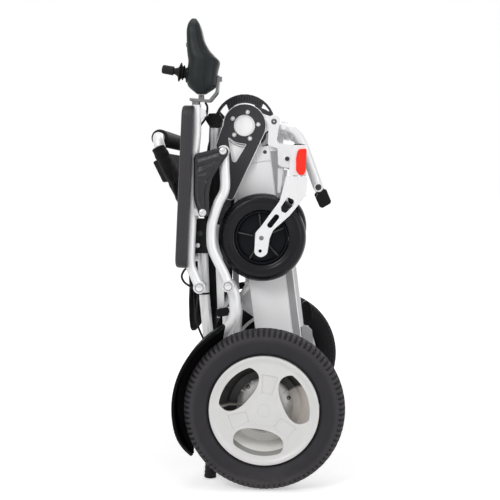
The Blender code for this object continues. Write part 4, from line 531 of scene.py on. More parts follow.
class Paint:
    """A finish being mixed: the node tree, its shader and the place that patterns read."""

    def __init__(self, name):
        """Mix the named finish from its line in the table."""
        row = FINISHES[name]
        colour = row["colour"]
        self.colour = tuple(getattr(colours(), colour)) if isinstance(colour, str) else tuple(colour)
        self.roughness = row["roughness"]
        self.material = bpy.data.materials.new(name)
        self.material.use_nodes = True
        self.material.diffuse_color = (*self.colour, 1.0)
        self.tree = self.material.node_tree
        self.shader = self.tree.nodes["Principled BSDF"]
        self.place = put(self.tree, "TexCoord").outputs["Object"]
        self.shade = None
        self.bumps = []
        self.set("Metallic", row["metallic"])
        self.set("Roughness", self.roughness)
        if row["mottle"]:
            self.mottle(*row["mottle"])
        for key, value in row["sockets"].items():
            self.set(key.replace("_", " ").title().replace("Ior", "IOR"), value)
        if row["layers"]:
            row["layers"](self)
        if row["edge_wear_and_highlight"]:
            self.edge_wear_and_highlight(*row["edge_wear_and_highlight"])
        if row["cells"]:
            self.cells(*row["cells"])
        if row["grain"]:
            self.grain(*row["grain"])
        self.join(row["rounding"])

    def set(self, socket, value):
        """Give a socket of the shader a value or a link."""
        feed(self.tree, self.shader.inputs[socket], value)

    def axes(self):
        """The X, Y and Z of the place that patterns read."""
        return put(self.tree, "SeparateXYZ", {"Vector": self.place}).outputs

    def math(self, operation, a, b=0.0):
        """One step of arithmetic in this finish."""
        return maths(self.tree, operation, a, b)

    def ranged(self, *values):
        """A value carried from one range to another in this finish."""
        return ranged(self.tree, *values)

    def both(self, a, b):
        """The product of two values."""
        return self.math("MULTIPLY", a, b)

    def noise(self, size, detail=3.0):
        """Cloudy noise whose features are about the given size in metres."""
        return put(self.tree, "TexNoise", {"Vector": self.place, "Scale": 1.0 / size, "Detail": detail,
                                           "Roughness": 0.55}).outputs["Fac"]

    def offsets(self, centre):
        """How far a point lies along X and Z from a place (X, Z)."""
        axes = self.axes()
        return [self.math("SUBTRACT", axes[axis], value) for axis, value in zip("XZ", centre)]

    def away(self, centre):
        """Distance from a place (X, Z)."""
        x, z = self.offsets(centre)
        return self.math("SQRT", self.math("ADD", self.both(x, x), self.both(z, z)))

    def angle(self, centre):
        """Angle about a place (X, Z)."""
        x, z = self.offsets(centre)
        return self.math("ARCTAN2", z, x)

    def waves(self, first, second, pitch):
        """The product of two sine waves along two axes."""
        turns = [self.both(self.axes()[axis], 2 * math.pi / pitch) for axis in (first, second)]
        return self.both(*(self.math("SINE", turn) for turn in turns))

    def mix(self, share, a, b):
        """One colour turning into another by a share."""
        made = put(self.tree, "Mix", {"Factor": share}, data_type="RGBA")
        for socket, value in ((6, a), (7, b)):
            feed(self.tree, made.inputs[socket], (*value, 1.0) if isinstance(value, tuple) else value)
        return made.outputs[2]

    def over(self, share, colour):
        """Another colour laid over by a share."""
        self.shade = self.mix(share, self.shade if self.shade is not None else self.colour, colour)

    def mottle(self, size, amount):
        """Slow variation of the colour and the roughness."""
        share = self.ranged(self.noise(size, 4.0), 0.3, 0.7)
        self.shade = self.mix(share, tinted(self.colour, 1 - amount), tinted(self.colour, 1 + amount))
        self.set("Roughness", self.ranged(self.noise(size * 0.6, 5.0), 0.3, 0.7, self.roughness - 0.05,
                                          self.roughness + 0.07))

    def grain(self, size, depth, detail=2.0):
        """Fine bumps from cloudy noise."""
        self.bumps.append((self.noise(size, detail), depth))

    def cells(self, size, depth):
        """Leather-like cells: distance from the nearest of many scattered points."""
        made = put(self.tree, "TexVoronoi", {"Vector": self.place, "Scale": 1.0 / size}, feature="F1")
        self.bumps.append((self.ranged(made.outputs["Distance"], 0.0, 0.5), depth))

    def edge_wear_and_highlight(self, colour, reach, strength):
        """Edges laid over with another colour, as rubbed wear, and on the caster ribs as a painted
        highlight: where the rounded and the true normal part, broken up by noise.
        """
        soft = put(self.tree, "Bevel", {"Radius": reach}, samples=4).outputs["Normal"]
        true = put(self.tree, "NewGeometry").outputs["Normal"]
        apart = put(self.tree, "VectorMath", {0: soft, 1: true}, operation="DOT_PRODUCT").outputs["Value"]
        broken = self.ranged(self.noise(0.008, 4.0), 0.42, 0.60, 0.0, strength)
        self.over(self.both(self.ranged(apart, 0.985, 0.80), broken), colour)

    def join(self, rounding):
        """Join the colour and the bumps to the shader, over edges rounded by the given radius."""
        self.set("Base Color", self.shade if self.shade is not None else (*self.colour, 1.0))
        normal = None
        if rounding:
            normal = put(self.tree, "Bevel", {"Radius": rounding}, samples=4).outputs["Normal"]
        for height, depth in self.bumps:
            sockets = {"Height": height, "Distance": depth, "Strength": 1.0}
            if normal is not None:
                sockets["Normal"] = normal
            normal = put(self.tree, "Bump", sockets).outputs["Normal"]
        if normal is not None:
            self.set("Normal", normal)


def layer_bowl(paint):
    """Painted light and shade: pale below, where light falls into the wheel, with a painted shadow along
    its outer edge; black above and at the left, a painted shadow.
    """
    away, angle = paint.away(AXLE), paint.angle(AXLE)
    upper = paint.both(paint.ranged(angle, 0.52, 0.60), paint.ranged(angle, 3.05, 3.13, 1.0, 0.0))
    left = paint.ranged(angle, -2.75, -2.65, 1.0, 0.0)
    below = paint.both(paint.ranged(angle, -2.45, -2.30), paint.ranged(angle, -1.10, -0.90, 1.0, 0.0))
    # painted light: the lower part pale, where light falls into the wheel
    paint.over(below, (0.88, 0.87, 0.83))
    # painted shade: a darker band along the outer edge of the pale part
    paint.over(paint.both(below, paint.ranged(away, 0.0862, 0.0868)), (0.33, 0.33, 0.315))
    # painted shadow: black over the upper part and at the left
    paint.over(paint.math("MAXIMUM", upper, left), (0.012, 0.010, 0.010))


def layer_frame(paint):
    """Painted shade: motor plates and link lugs black, the outer corners of the plates grey, for the shadow
    they lie in.
    """
    aside = paint.math("ABSOLUTE", paint.axes()["Y"])
    away = paint.away(AXLE)
    corner = paint.both(paint.ranged(away, 0.170, 0.171, 1.0, 0.0), paint.ranged(aside, 0.1895, 0.1900))
    inner_face = paint.ranged(aside, 0.2150, 0.2155, 1.0, 0.0)
    near = paint.ranged(away, 0.112, 0.113, 1.0, 0.0)
    plates = paint.both(corner, paint.math("MAXIMUM", near, inner_face))
    spot = paint.away((LINK_PIVOT[0] + 0.006, LINK_PIVOT[1]))
    lugs = paint.both(paint.ranged(spot, 0.0150, 0.0155, 1.0, 0.0), paint.ranged(aside, 0.1995, 0.2000))
    black = paint.math("MAXIMUM", plates, lugs)
    # painted shade: the plates' outer corners grey
    paint.over(corner, (0.40, 0.40, 0.41))
    # painted shade: plates and lugs black
    paint.over(black, (0.008, 0.008, 0.009))
    paint.set("Specular IOR Level", paint.ranged(black, 0.0, 1.0, 0.50, 0.10))


def layer_tread(paint):
    """Blacker walls, painted shade in the slots and on the inner side, and dust near the floor, fading
    upwards.
    """
    away, angle = paint.away(AXLE), paint.angle(AXLE)
    axes = paint.axes()
    paint.over(paint.ranged(away, 0.134, 0.142, 1.0, 0.0), (0.0195, 0.0180, 0.0225))
    turns = paint.both(angle, bpy.context.scene.wheelchair_sizes.tread_lugs / (2 * math.pi))
    middle = paint.math("ABSOLUTE", paint.math("SUBTRACT", paint.math("FRACT", turns), 0.5))
    slots = paint.both(paint.ranged(middle, 0.17, 0.22, 1.0, 0.0), paint.ranged(away, 0.1455, 0.1475))
    # painted shade: the shoulder slots near black
    paint.over(slots, (0.006, 0.006, 0.007))
    aside = paint.math("ABSOLUTE", axes["Y"])
    # painted shade: the inner side of each tyre blacker
    paint.over(paint.ranged(aside, 0.3120, 0.3200, 1.0, 0.0), (0.009, 0.0085, 0.010))
    paint.set("Specular IOR Level", paint.ranged(aside, 0.3120, 0.3200, 0.14, 0.28))
    fade = paint.ranged(axes["Z"], 0.0, 0.05, 0.35, 0.0)
    broken = paint.ranged(paint.noise(0.02, 5.0), 0.35, 0.65, 0.2, 1.0)
    paint.over(paint.both(fade, broken), (0.16, 0.145, 0.13))


def layer_weave(paint):
    """Two crossed sets of threads, 0.9 mm apart, their raised tops painted paler as a painted highlight."""
    weave = paint.waves("Y", "Z", 0.0009)
    paint.bumps.append((weave, 0.00012))
    # painted highlight: the threads' tops paler
    paint.over(paint.ranged(weave, -1.0, 1.0, 0.0, 0.35), tinted(paint.colour, 2.2))


def layer_prisms(paint):
    """Rows of small prisms, 3 mm apart."""
    prisms = paint.waves("X", "Z", 0.0030)
    paint.bumps.append((prisms, 0.0002))
    paint.over(paint.ranged(prisms, 0.2, 1.0, 0.0, 0.45), (0.55, 0.02, 0.01))


FINISHES = {
    # Satin silver paint on the tubes, with fine flakes
    "silver": look("silver", 0.36, 0.25, (0.06, 0.02), ((0.60, 0.60, 0.61), 0.0008, 0.30), None,
                   (0.0007, 0.00001), coat_weight=0.15, coat_roughness=0.20),
    # Silver paint of the chassis, with painted shade on the motor plates and link lugs
    "frame": look("silver", 0.36, 0.20, (0.06, 0.02), ((0.60, 0.60, 0.61), 0.0008, 0.20), None,
                  (0.0007, 0.00001), layers=layer_frame),
    # Pale painted casting of the drive wheels
    "white_alloy": look("rim", 0.46, 0.10, (0.05, 0.02), ((0.55, 0.54, 0.52), 0.0008, 0.25), None,
                        (0.0010, 0.00002), 0.0008, coat_weight=0.15, coat_roughness=0.30),
    # Brown-grey casting inside the drive wheels, darker than the rims' paint as painted shade; layer_bowl
    # lays more painted light and shade on it
    "bowl": look((0.62, 0.575, 0.535), 0.50, 0.0, (0.03, 0.05), None, None, (0.0010, 0.00005, 4.0),
                 layers=layer_bowl),
    # Silver-grey moulded battery housing, and the darker cover along its edge
    "housing": look("housing", 0.42, 0.0, (0.09, 0.015), None, None, (0.0006, 0.00003), 0.0010),
    "strip": look((0.36, 0.355, 0.365), 0.45, 0.0, (0.05, 0.04), None, None, (0.0006, 0.00004)),
    # Dark grey moulding with a fine texture
    "charcoal": look("charcoal", 0.46, 0.0, (0.04, 0.06), ((0.16, 0.155, 0.16), 0.0007, 0.4), None,
                     (0.0007, 0.00006), specular_ior_level=0.30),
    # Black moulded plastic, half glossy
    "moulding": look((0.0050, 0.0050, 0.0058), 0.32, 0.0, (0.05, 0.10),
                     ((0.030, 0.030, 0.031), 0.0006, 0.3), None, (0.0009, 0.00003),
                     specular_ior_level=0.14),
    # Deep black mudguards with a soft sheen
    "guard_black": look((0.0016, 0.0016, 0.0018), 0.42, 0.0, (0.08, 0.10),
                        ((0.018, 0.018, 0.019), 0.0006, 0.3), None, (0.0009, 0.00003),
                        specular_ior_level=0.06),
    # Black spoked hubs of the casters
    "hub_black": look((0.0055, 0.0065, 0.0095), 0.36, 0.0, (0.04, 0.10), ((0.05, 0.05, 0.055), 0.0006, 0.4),
                      None, (0.0009, 0.00003), specular_ior_level=0.10),
    # White plastic caps in the ring plates, with a faint painted glow that lifts them out of the shade of
    # their recesses
    "cap_white": look((0.95, 0.95, 0.95), 0.50, 0.0, (0.01, 0.01), None, None, (0.0008, 0.00002),
                      emission_color=(1.0, 1.0, 1.0, 1.0), emission_strength=0.10),
    # Soft black housing of the joystick
    "control": look((0.0085, 0.0118, 0.0125), 0.44, 0.0, (0.03, 0.08), None, None, (0.0006, 0.00008),
                    specular_ior_level=0.22),
    # Rubber of the drive tyres, with painted shade in their slots and on their inner sides, and the
    # smoother rubber of the casters
    "tread": look("tyre", 0.62, 0.0, (0.05, 0.08), None, None, (0.0008, 0.00008, 4.0), layers=layer_tread),
    "caster_tread": look((0.0060, 0.0058, 0.0078), 0.26, 0.0, (0.04, 0.10), None, None, (0.0007, 0.00004),
                         specular_ior_level=0.16, coat_weight=0.06, coat_roughness=0.12),
    "soft_rubber": look((0.0085, 0.0085, 0.0090), 0.62, 0.0, (0.03, 0.10), None, None,
                        (0.0009, 0.00008, 3.0), specular_ior_level=0.22),
    # Dark grey armrest foam with a leather grain
    "vinyl": look("pad", 0.46, 0.0, (0.05, 0.06), None, (0.0016, 0.00010), (0.0005, 0.00003), 0.0,
                  specular_ior_level=0.28, sheen_weight=0.10),
    # Black woven fabric
    "fabric": look("fabric", 0.88, 0.0, (0.04, 0.12), rounding=0.0, layers=layer_weave,
                   specular_ior_level=0.15, sheen_weight=0.08, sheen_roughness=0.5),
    # Red reflector, with a painted glow
    "lens": look("lens", 0.50, rounding=0.0006, layers=layer_prisms, specular_ior_level=0.20,
                 coat_weight=0.15, emission_color=(0.9, 0.04, 0.015, 1.0), emission_strength=0.22),
    # Darkened satin metal of the joystick's bracket
    "bracket": look((0.20, 0.20, 0.205), 0.30, 0.6, (0.02, 0.06), ((0.45, 0.45, 0.46), 0.0008, 0.6), None,
                    (0.0007, 0.00002)),
    # Black ribs whose edges are painted paler, a painted highlight
    "rib": look((0.045, 0.045, 0.047), 0.36, 0.0, (0.02, 0.10), ((0.20, 0.20, 0.20), 0.0006, 0.8),
                specular_ior_level=0.3),
    # Dark vinyl skin of the skirt guards, soft and slightly glossy
    "guard": look((0.018, 0.0165, 0.0190), 0.32, 0.0, (0.03, 0.10), None, (0.0020, 0.00006),
                  (0.0006, 0.00003), specular_ior_level=0.34),
    # Grey keys
    "button": look((0.20, 0.20, 0.205), 0.45, 0.0, (0.01, 0.04), None, None, (0.0006, 0.00004)),
    # Bright plated screws and pins, blackened screws, and the rough casting of the motors
    "steel": look((0.62, 0.62, 0.64), 0.24, 1.0, (0.01, 0.05), None, None, (0.0004, 0.00001), 0.0003),
    "dark_steel": look((0.05, 0.05, 0.052), 0.36, 0.7, (0.01, 0.08), rounding=0.0003),
    "steel_cast": look((0.62, 0.61, 0.60), 0.40, 0.60, (0.03, 0.06), None, None, (0.0010, 0.00006, 4.0)),
    # Small clear window with a green tint
    "lamp": look((0.10, 0.35, 0.14), 0.20, 0.0, (0.004, 0.10), rounding=0.0002, coat_weight=0.5),
}
MIXED = {}


def finished(name):
    """The material of a finish, mixed the first time it is asked for."""
    if name not in MIXED:
        MIXED[name] = Paint(name).material
    return MIXED[name]


# Places shared by several pieces

def on_circle(centre, radius, degrees):
    """The place (X, Z) on a circle at an angle."""
    a = math.radians(degrees)
    return (centre[0] + radius * math.cos(a), centre[1] + radius * math.sin(a))


def heading(low, high):
    """The direction from one place (X, Z) to another, and the direction to its left."""
    way = unit(np.subtract(high, low))
    return way, np.array([-way[1], way[0]])


def cross_tube(name, spot, reach, radius, body, stands=None, sides=64, chamfer=0):
    """A silver tube across the chair, with the same reach to both sides."""
    sweep(name, [at(spot, -reach), at(spot, reach)], radius, "silver", body, stands, sides, chamfer)


def pivot_head(name, ring, spot, proud, side, body):
    """The smooth head of an outer pivot bolt, with a thin dark ring round it turned from a flat section,
    painted shade for the groove round the head.
    """
    place = at(spot, side * (ARM_FACE + proud))
    bolt(name, place, (0, side, 0), 0.0078, body, "steel", 0.0026, False)
    # painted shade: a thin dark ring standing in for the groove round the bolt head
    section = [(0.0079, 0.0002), (0.0088, 0.0002), (0.0088, 0.0011), (0.0079, 0.0011)]
    turned(ring, section, place, (0, side, 0), "bracket", body, steps=48, ends="ring")


# Drive wheels

def make_drive_tyre(side_name, side, tread_deep, lugs):
    """A smooth half section is mirrored and turned about the axle; the tread sinks by a square-edged wave.

    Shoulders carry narrow slots, the crown two long grooves and zigzag blocks between them.
    """
    half = TYRE_WIDTH / 2
    wall = TYRE_R - BEAD_R
    bore = BEAD_R - 0.0008
    shares = ((0.0, 0.58), (0.12, 0.80), (0.34, 0.955), (0.60, 0.985), (0.80, 0.90), (0.93, 0.68),
              (0.985, 0.38), (1.0, 0.0))
    points = [(bore, 0.46 * half), *((BEAD_R + rise * wall, out * half) for rise, out in shares)]
    section = whole_section(points, 5, TYRE_R)
    profile = np.vstack([section, [(bore, out * half) for out in (-0.2, 0.0, 0.2)]])
    radius, across = profile[:, 0], profile[:, 1] / half
    angles = np.linspace(0, 2 * np.pi, lugs * 8, endpoint=False)
    outer = np.clip((radius - (BEAD_R + 0.72 * wall)) / (0.04 * wall), 0, 1)[:, None]
    phase = angles[None, :] * lugs / (2 * np.pi)

    def band(value, width):
        """1 inside a stripe of the repeating value, easing to 0 over its edge."""
        off = np.abs(np.mod(value, 1.0) - 0.5)
        return np.clip((width / 2 - off) / 0.08 + 0.5, 0, 1)

    away = np.abs(across)[:, None]
    slots = band(phase, 0.42) * np.clip((away - 0.50) / 0.06, 0, 1)
    lean = np.sign(across)[:, None] * away * 1.6
    blocks = band(phase * 0.5 + lean, 0.20) * np.clip((0.46 - away) / 0.05, 0, 1)
    grooves = np.exp(-((away - 0.47) / 0.035) ** 4) + np.exp(-((away - 0.10) / 0.03) ** 4)
    sunk = np.clip(slots + blocks + grooves, 0, 1) * outer * tread_deep
    rings = 0.0008 * np.exp(-((radius - (BEAD_R + 0.10 * wall)) / 0.0011) ** 2)
    rings += 0.0006 * np.exp(-((radius - (BEAD_R + 0.66 * wall)) / 0.0009) ** 2)
    along = np.gradient(profile, axis=0)
    normal = np.stack([along[:, 1], -along[:, 0]], -1)
    normal /= np.linalg.norm(normal, axis=1)[:, None] + 1e-9
    if normal[len(section) // 4, 1] < 0:
        normal = -normal
    shift = rings[:, None] - sunk
    grid_r = np.minimum(radius[:, None] + normal[:, :1] * shift, TYRE_R)
    grid_y = side * WHEEL_Y + profile[:, 1:2] + normal[:, 1:] * shift
    grid = np.stack([AXLE[0] + grid_r * np.cos(angles), grid_y, AXLE[1] + grid_r * np.sin(angles)], -1)
    surface("drive_tread_" + side_name, grid, "tread", "wheel_" + side_name, "drive_tyre_" + side_name,
            "ring", 50.0)


def make_drive_rim(side_name, side):
    """Barrel and lip turned from one section, a disc with three oval windows in two layers, and a hub."""
    body = "wheel_" + side_name
    half = TYRE_WIDTH / 2
    outer = BEAD_R - 0.0011
    inner = outer - 0.0085
    face = 0.76 * half
    lip = 0.85 * half
    y = side * WHEEL_Y
    centre = at(AXLE, y)
    outwards = (0, side, 0)
    barrel = [(inner - 0.0100, face - 0.0002), (inner - 0.0030, face + 0.0002),
              (inner - 0.0008, face + 0.0012), (inner + 0.0008, lip - 0.0006), (inner + 0.0018, lip),
              (outer - 0.0008, lip), (outer, lip - 0.0008), (outer, -lip + 0.0008), (outer - 0.0008, -lip),
              (inner + 0.0018, -lip), (inner + 0.0008, -lip + 0.0008), (inner, -lip + 0.0040),
              (inner - 0.0012, face - 0.0100), (inner - 0.0060, face - 0.0066)]
    turned("rim_barrel_" + side_name, barrel, centre, outwards, "white_alloy", body,
           "drive_rim_" + side_name, 160, "ring")
    bowl = [(inner - 0.0003, face - 0.0075), (inner - 0.0012, face - 0.0075),
            (inner - 0.0045, face - 0.0170), (0.0840, -0.0010), (0.0745, -0.0180), (0.0715, -0.0235),
            (0.0560, -0.0240), (0.0560, -0.0262), (0.0735, -0.0256), (0.0765, -0.0200), (0.0860, -0.0030),
            (inner - 0.0025, face - 0.0180), (inner - 0.0003, face - 0.0120)]
    turned("rim_bowl_" + side_name, bowl, centre, outwards, "bowl", body, steps=128, ends="ring")
    hollow = rounded([(0.034, -0.0105), (0.070, -0.0155), (0.070, 0.0155), (0.034, 0.0105)], 0.0022)
    windows, panels = [], []
    for angle in (20.0, 140.0, 260.0):
        windows.append(oval(on_circle(AXLE, 0.0645, angle), 0.0495, 0.0268, angle + 90))
        panels.append(hollow @ turned_by(angle + 60) + AXLE)
    disc = arc_of(AXLE, inner - 0.0010, 160)
    plate("rim_disc_" + side_name, disc, windows, y + side * (face - 0.0070), y + side * (face - 0.0022),
          "white_alloy", body, edge=0.0012)
    plate("rim_face_" + side_name, disc, windows + panels, y + side * (face - 0.0024), y + side * face,
          "white_alloy", body, edge=0.0005)
    hub = [(CENTRE, face + 0.0004), (0.0120, face + 0.0004), (0.0124, face), (0.0128, face + 0.0004),
           (0.0292, face + 0.0004), (0.0300, face - 0.0004), (0.0300, face - 0.0060),
           (0.0262, face - 0.0100), (0.0260, -0.0330), (0.0250, -0.0338), (0.0110, -0.0338),
           (CENTRE, -0.0300)]
    turned("rim_hub_" + side_name, hub, centre, outwards, "white_alloy", body, steps=72)
    stem_angle = 2.62
    c, s = math.cos(stem_angle), math.sin(stem_angle)
    stem_at = (AXLE[0] + (inner - 0.002) * c, y + side * (face - 0.012), AXLE[1] + (inner - 0.002) * s)
    stem = [(CENTRE, -0.002), (0.0048, -0.002), (0.0040, 0.004), (0.0034, 0.010), (0.0036, 0.0105),
            (0.0036, 0.0175), (0.0028, 0.0185), (CENTRE, 0.0188)]
    turned("valve_" + side_name, stem, stem_at, (-c, side * 0.45, -s), "soft_rubber", body, steps=24)


def make_motor(side_name, side):
    """Drum with cooling fins and stepped ends, turned from one section, its ribs and its screws."""
    inner, outer = MOTOR_INNER_Y, MOTOR_OUTER_Y
    profile = [(CENTRE, inner), (0.046, inner), (0.048, inner + 0.0008), (0.060, inner + 0.0062),
               (0.062, inner + 0.0120)]
    for k in range(5):
        y = inner + 0.0150 + k * 0.0070
        profile += [(0.0672, y), (0.0680, y + 0.0008), (0.0680, y + 0.0036), (0.0672, y + 0.0044),
                    (0.0640, y + 0.0050), (0.0640, y + 0.0066)]
    profile += [(0.0680, outer - 0.0235), (0.0680, outer - 0.0220), (0.0620, outer - 0.0160),
                (0.0610, outer - 0.0140), (0.0580, outer - 0.0060), (0.0560, outer - 0.0048),
                (0.0400, outer), (0.0300, outer), (0.0290, outer - 0.0012), (0.0270, outer - 0.0012),
                (0.0260, outer), (0.0180, outer), (0.0160, outer + 0.0035), (0.0100, outer + 0.0035),
                (0.0100, WHEEL_Y + 0.0155), (CENTRE, WHEEL_Y + 0.0155)]
    turned("motor_drum_" + side_name, [(r, side * y) for r, y in profile], at(AXLE, 0), ALONG_Y,
           "steel_cast", "chassis", "motor_" + side_name, 96)
    rib = oblong(0.0290, 0.0585, 0.0014, 0.0006, 3)
    for k in range(12):
        plate("motor_rib_%s_%d" % (side_name, k), rib @ turned_by(30 * k) + AXLE, [],
              side * (outer - 0.0090), side * (outer - 0.0006), "steel_cast", "chassis", edge=0.0005)
    for k in range(6):
        spot = on_circle(AXLE, 0.0480, 60 * k + 15)
        bolt("motor_screw_%s_%d" % (side_name, k), at(spot, side * (outer - 0.0036)), (0, side, 0), 0.0038,
             "chassis", "dark_steel")


def make_fender(side_name, side):
    """Mudguard: one section bent round the wheel, drawn in towards its two ends."""
    share = np.linspace(0, 1, 90)
    angle = np.radians(117.0 + 98.0 * share)[:, None]
    bloom = np.sin(np.pi / 2 * np.minimum(1.0, np.minimum(share * 8.0, (1 - share) * 4.5)))
    wall, outer = 0.0040, 0.1820
    under = outer - wall
    near, edge = MOTOR_OUTER_Y, WHEEL_Y + 0.90 * TYRE_WIDTH / 2
    flange = under - (under - 0.1490) * bloom - 0.002
    far = near + 0.020 + (edge - near - 0.020) * bloom
    section = [(outer - 0.0008, near), (outer, near + 0.0008), (outer, far - 0.0046),
               (outer - 0.0004, far - 0.0026), (outer - 0.0014, far - 0.0010), (outer - 0.0030, far),
               (under - 0.0026, far), (under - 0.0030, far - 0.0010), (under - 0.0010, far - 0.0030),
               (under, far - 0.0050), (under, near + wall + 0.002), (under - 0.0010, near + wall + 0.0004),
               (under - 0.0030, near + wall), (flange, near + wall),
               (flange - 0.0004, near + wall - 0.0005), (flange - 0.0004, near + 0.0005), (flange, near)]
    radius, y = (np.stack([np.ones(90) * point[axis] for point in section], 1) for axis in (0, 1))
    grid = np.stack([AXLE[0] + radius * np.cos(angle), side * y, AXLE[1] + radius * np.sin(angle)], -1)
    surface("mudguard_" + side_name, grid, "guard_black", "chassis", "fender_" + side_name, "cap", 30.0)


# Casters, forks and legs

def make_caster(side_name, side):
    """Tyre turned from a rounded section with fine rings; hub with a rolled rim and five thin spokes."""
    body = "caster_wheel_" + side_name
    y = side * CASTER_Y
    centre = at(CASTER_AXLE, y)
    half = CASTER_WIDTH / 2
    wall = CASTER_R - CASTER_HUB_R
    bore = CASTER_HUB_R - 0.0004
    shares = ((0.0, 0.70), (0.10, 0.85), (0.42, 0.985), (0.68, 0.955), (0.88, 0.68))
    points = [(bore, 0.60 * half), *((CASTER_HUB_R + rise * wall, out * half) for rise, out in shares),
              (CASTER_R - 0.0010, 0.34 * half), (CASTER_R, 0.0)]
    profile = np.vstack([whole_section(points, 6, CASTER_R), [[bore, 0.0]]])
    lines = 0.0006 * np.exp(-((profile[:, 0] - (CASTER_HUB_R + 0.18 * wall)) / 0.0009) ** 2)
    lines += 0.0005 * np.exp(-((profile[:, 0] - (CASTER_HUB_R + 0.62 * wall)) / 0.0009) ** 2)
    profile[:, 1] -= np.sign(profile[:, 1]) * lines
    turned("caster_tread_" + side_name, profile, centre, ALONG_Y, "caster_tread", body,
           "caster_tyre_" + side_name, 160, "ring")
    outer = CASTER_HUB_R - 0.0010
    rim = mirrored([(outer - 0.0060, 0.16 * half), (outer - 0.0042, 0.66 * half),
                    (outer - 0.0028, 0.74 * half), (outer - 0.0010, 0.74 * half), (outer, 0.70 * half)])
    turned("caster_rim_" + side_name, rim, centre, ALONG_Y, "hub_black", body, "caster_hub_" + side_name,
           120, "ring")
    web = mirrored([(0.0150, 0.12 * half), (outer - 0.005, 0.10 * half)])
    turned("caster_web_" + side_name, web, centre, ALONG_Y, "hub_black", body, steps=96, ends="ring")
    knob = [(0.0058, 0.88 * half), (0.0090, 0.90 * half), (0.0150, 0.90 * half), (0.0172, 0.86 * half),
            (0.0186, 0.30 * half)]
    knob = [*knob, (0.0190, 0.0), *mirrored(knob)[len(knob):]]
    turned("caster_boss_" + side_name, knob, centre, ALONG_Y, "hub_black", body, steps=72, ends="ring")
    rib = oblong(0.0165, outer - 0.0035, 0.0012, 0.0003, 2)
    for k in range(5):
        plate("caster_rib_%s_%d" % (side_name, k), rib @ turned_by(72 * k + 24) + CASTER_AXLE, [],
              y - 0.55 * half, y + 0.55 * half, "rib", body, edge=0.0003, segments=2)


def make_fork(side_name, side):
    """Two pressed plates with a slot, a window and a spare axle hole, and the bridge under the barrel."""
    body = "caster_" + side_name
    x, z = CASTER_AXLE
    outline = rounded([(0.0400, 0.6150), (0.0790, 0.6150), (0.0822, 0.6090), (0.0795, 0.5761),
                       (0.0485, 0.5379), (0.0150, 0.5080), (x + 0.0165, z), (x + 0.0115, 0.4600),
                       (x - 0.0010, 0.4518), (x - 0.0145, 0.4600), (x - 0.0122, 0.5027), (-0.0094, 0.5155),
                       (0.0280, 0.5665), (0.0366, 0.5983)],
                      [0.002, 0.003, 0.004, 0.012, 0.012, 0.014, 0.012, 0.010, 0.014, 0.010, 0.012, 0.008,
                       0.02, 0.01], 8)
    window = rounded([(0.0440, 0.5745), (0.0560, 0.5690), (0.0570, 0.5600), (0.0400, 0.5420),
                      (0.0315, 0.5455), (0.0305, 0.5545)], 0.0035)
    slot = lobe((0.0215, 0.5345), (0.0085, 0.5180), 0.0054, 0.0054)
    spare = arc_of((-0.0111, 0.4661), 0.0034, 24)
    for k, sign in enumerate((-1, 1)):
        start = CASTER_Y + sign * FORK_GAP
        plate("fork_plate_%s_%d" % (side_name, k), outline, [window, slot, spare], side * start,
              side * (start + sign * FORK_PLATE), "silver", body, None if k else "caster_fork_" + side_name,
              0.0007)
        bolt("axle_bolt_%s_%d" % (side_name, k),
             at(CASTER_AXLE, side * (start + sign * (FORK_PLATE - 0.0003))), (0, side * sign, 0), 0.0036,
             body, "bracket", 0.0022 if sign > 0 else 0.0010)
    bridge = rounded([(0.0420, 0.6168), (0.0780, 0.6142), (0.0790, 0.6090), (0.0400, 0.6090)], 0.001, 4)
    reach = FORK_GAP + FORK_PLATE * 0.5
    ends = (side * (CASTER_Y - reach), side * (CASTER_Y + reach))
    plate("fork_bridge_" + side_name, bridge, [], *ends, "silver", body)
    low, high = np.array((0.0629, 0.6173)), np.array((0.0671, 0.6783))
    stem = flat([low + (high - low) * s for s in (-0.06, 0.72)], side * CASTER_Y)
    sweep("fork_stem_" + side_name, stem, 0.0078, "steel", body, sides=32)
    sweep("caster_axle_" + side_name, [at(CASTER_AXLE, y) for y in ends], 0.0054, "steel", body)


def make_leg(side_name, side):
    """Leg plate with the square caster barrel and its cap, its bolts, and the reflector."""
    refined("leg_bracket_" + side_name, "silver", 0.0012, 3)
    for name, spot, proud, radius, head in (("leg_pivot_bolt_", LEG_PIVOT, 0.0002, 0.0044, 0.0026),
                                            ("leg_bolt_", LEG_BOLT, 0.0030, 0.0036, 0.0020)):
        bolt(name + side_name, at(spot, side * (PLATE_HIGH + proud)), (0, side, 0), radius, "leg",
             "dark_steel", head)
    barrel_half = 0.0150
    lens_y = CASTER_Y + barrel_half + 0.0003
    outline = rounded([(0.0640, 0.6700), (0.0815, 0.6710), (0.0797, 0.6270), (0.0755, 0.6184),
                       (0.0668, 0.6184), (0.0602, 0.6270), (0.0602, 0.6520)],
                      [0.008, 0.003, 0.006, 0.004, 0.004, 0.006, 0.010], 8)
    plate("reflector_lens_" + side_name, outline, [], side * lens_y, side * (lens_y + 0.003), "lens", "leg",
          "reflector_" + side_name, 0.0010, 4)
    cap = [(CENTRE, 0.0), (0.0115, 0.0), (0.0120, 0.0010), (0.0112, 0.0022), (0.0050, 0.0032),
           (CENTRE, 0.0034)]
    turned("barrel_cap_" + side_name, cap, (0.0672, side * CASTER_Y, 0.6780), (0.0687, 0, 0.9976),
           "moulding", "leg", steps=48)


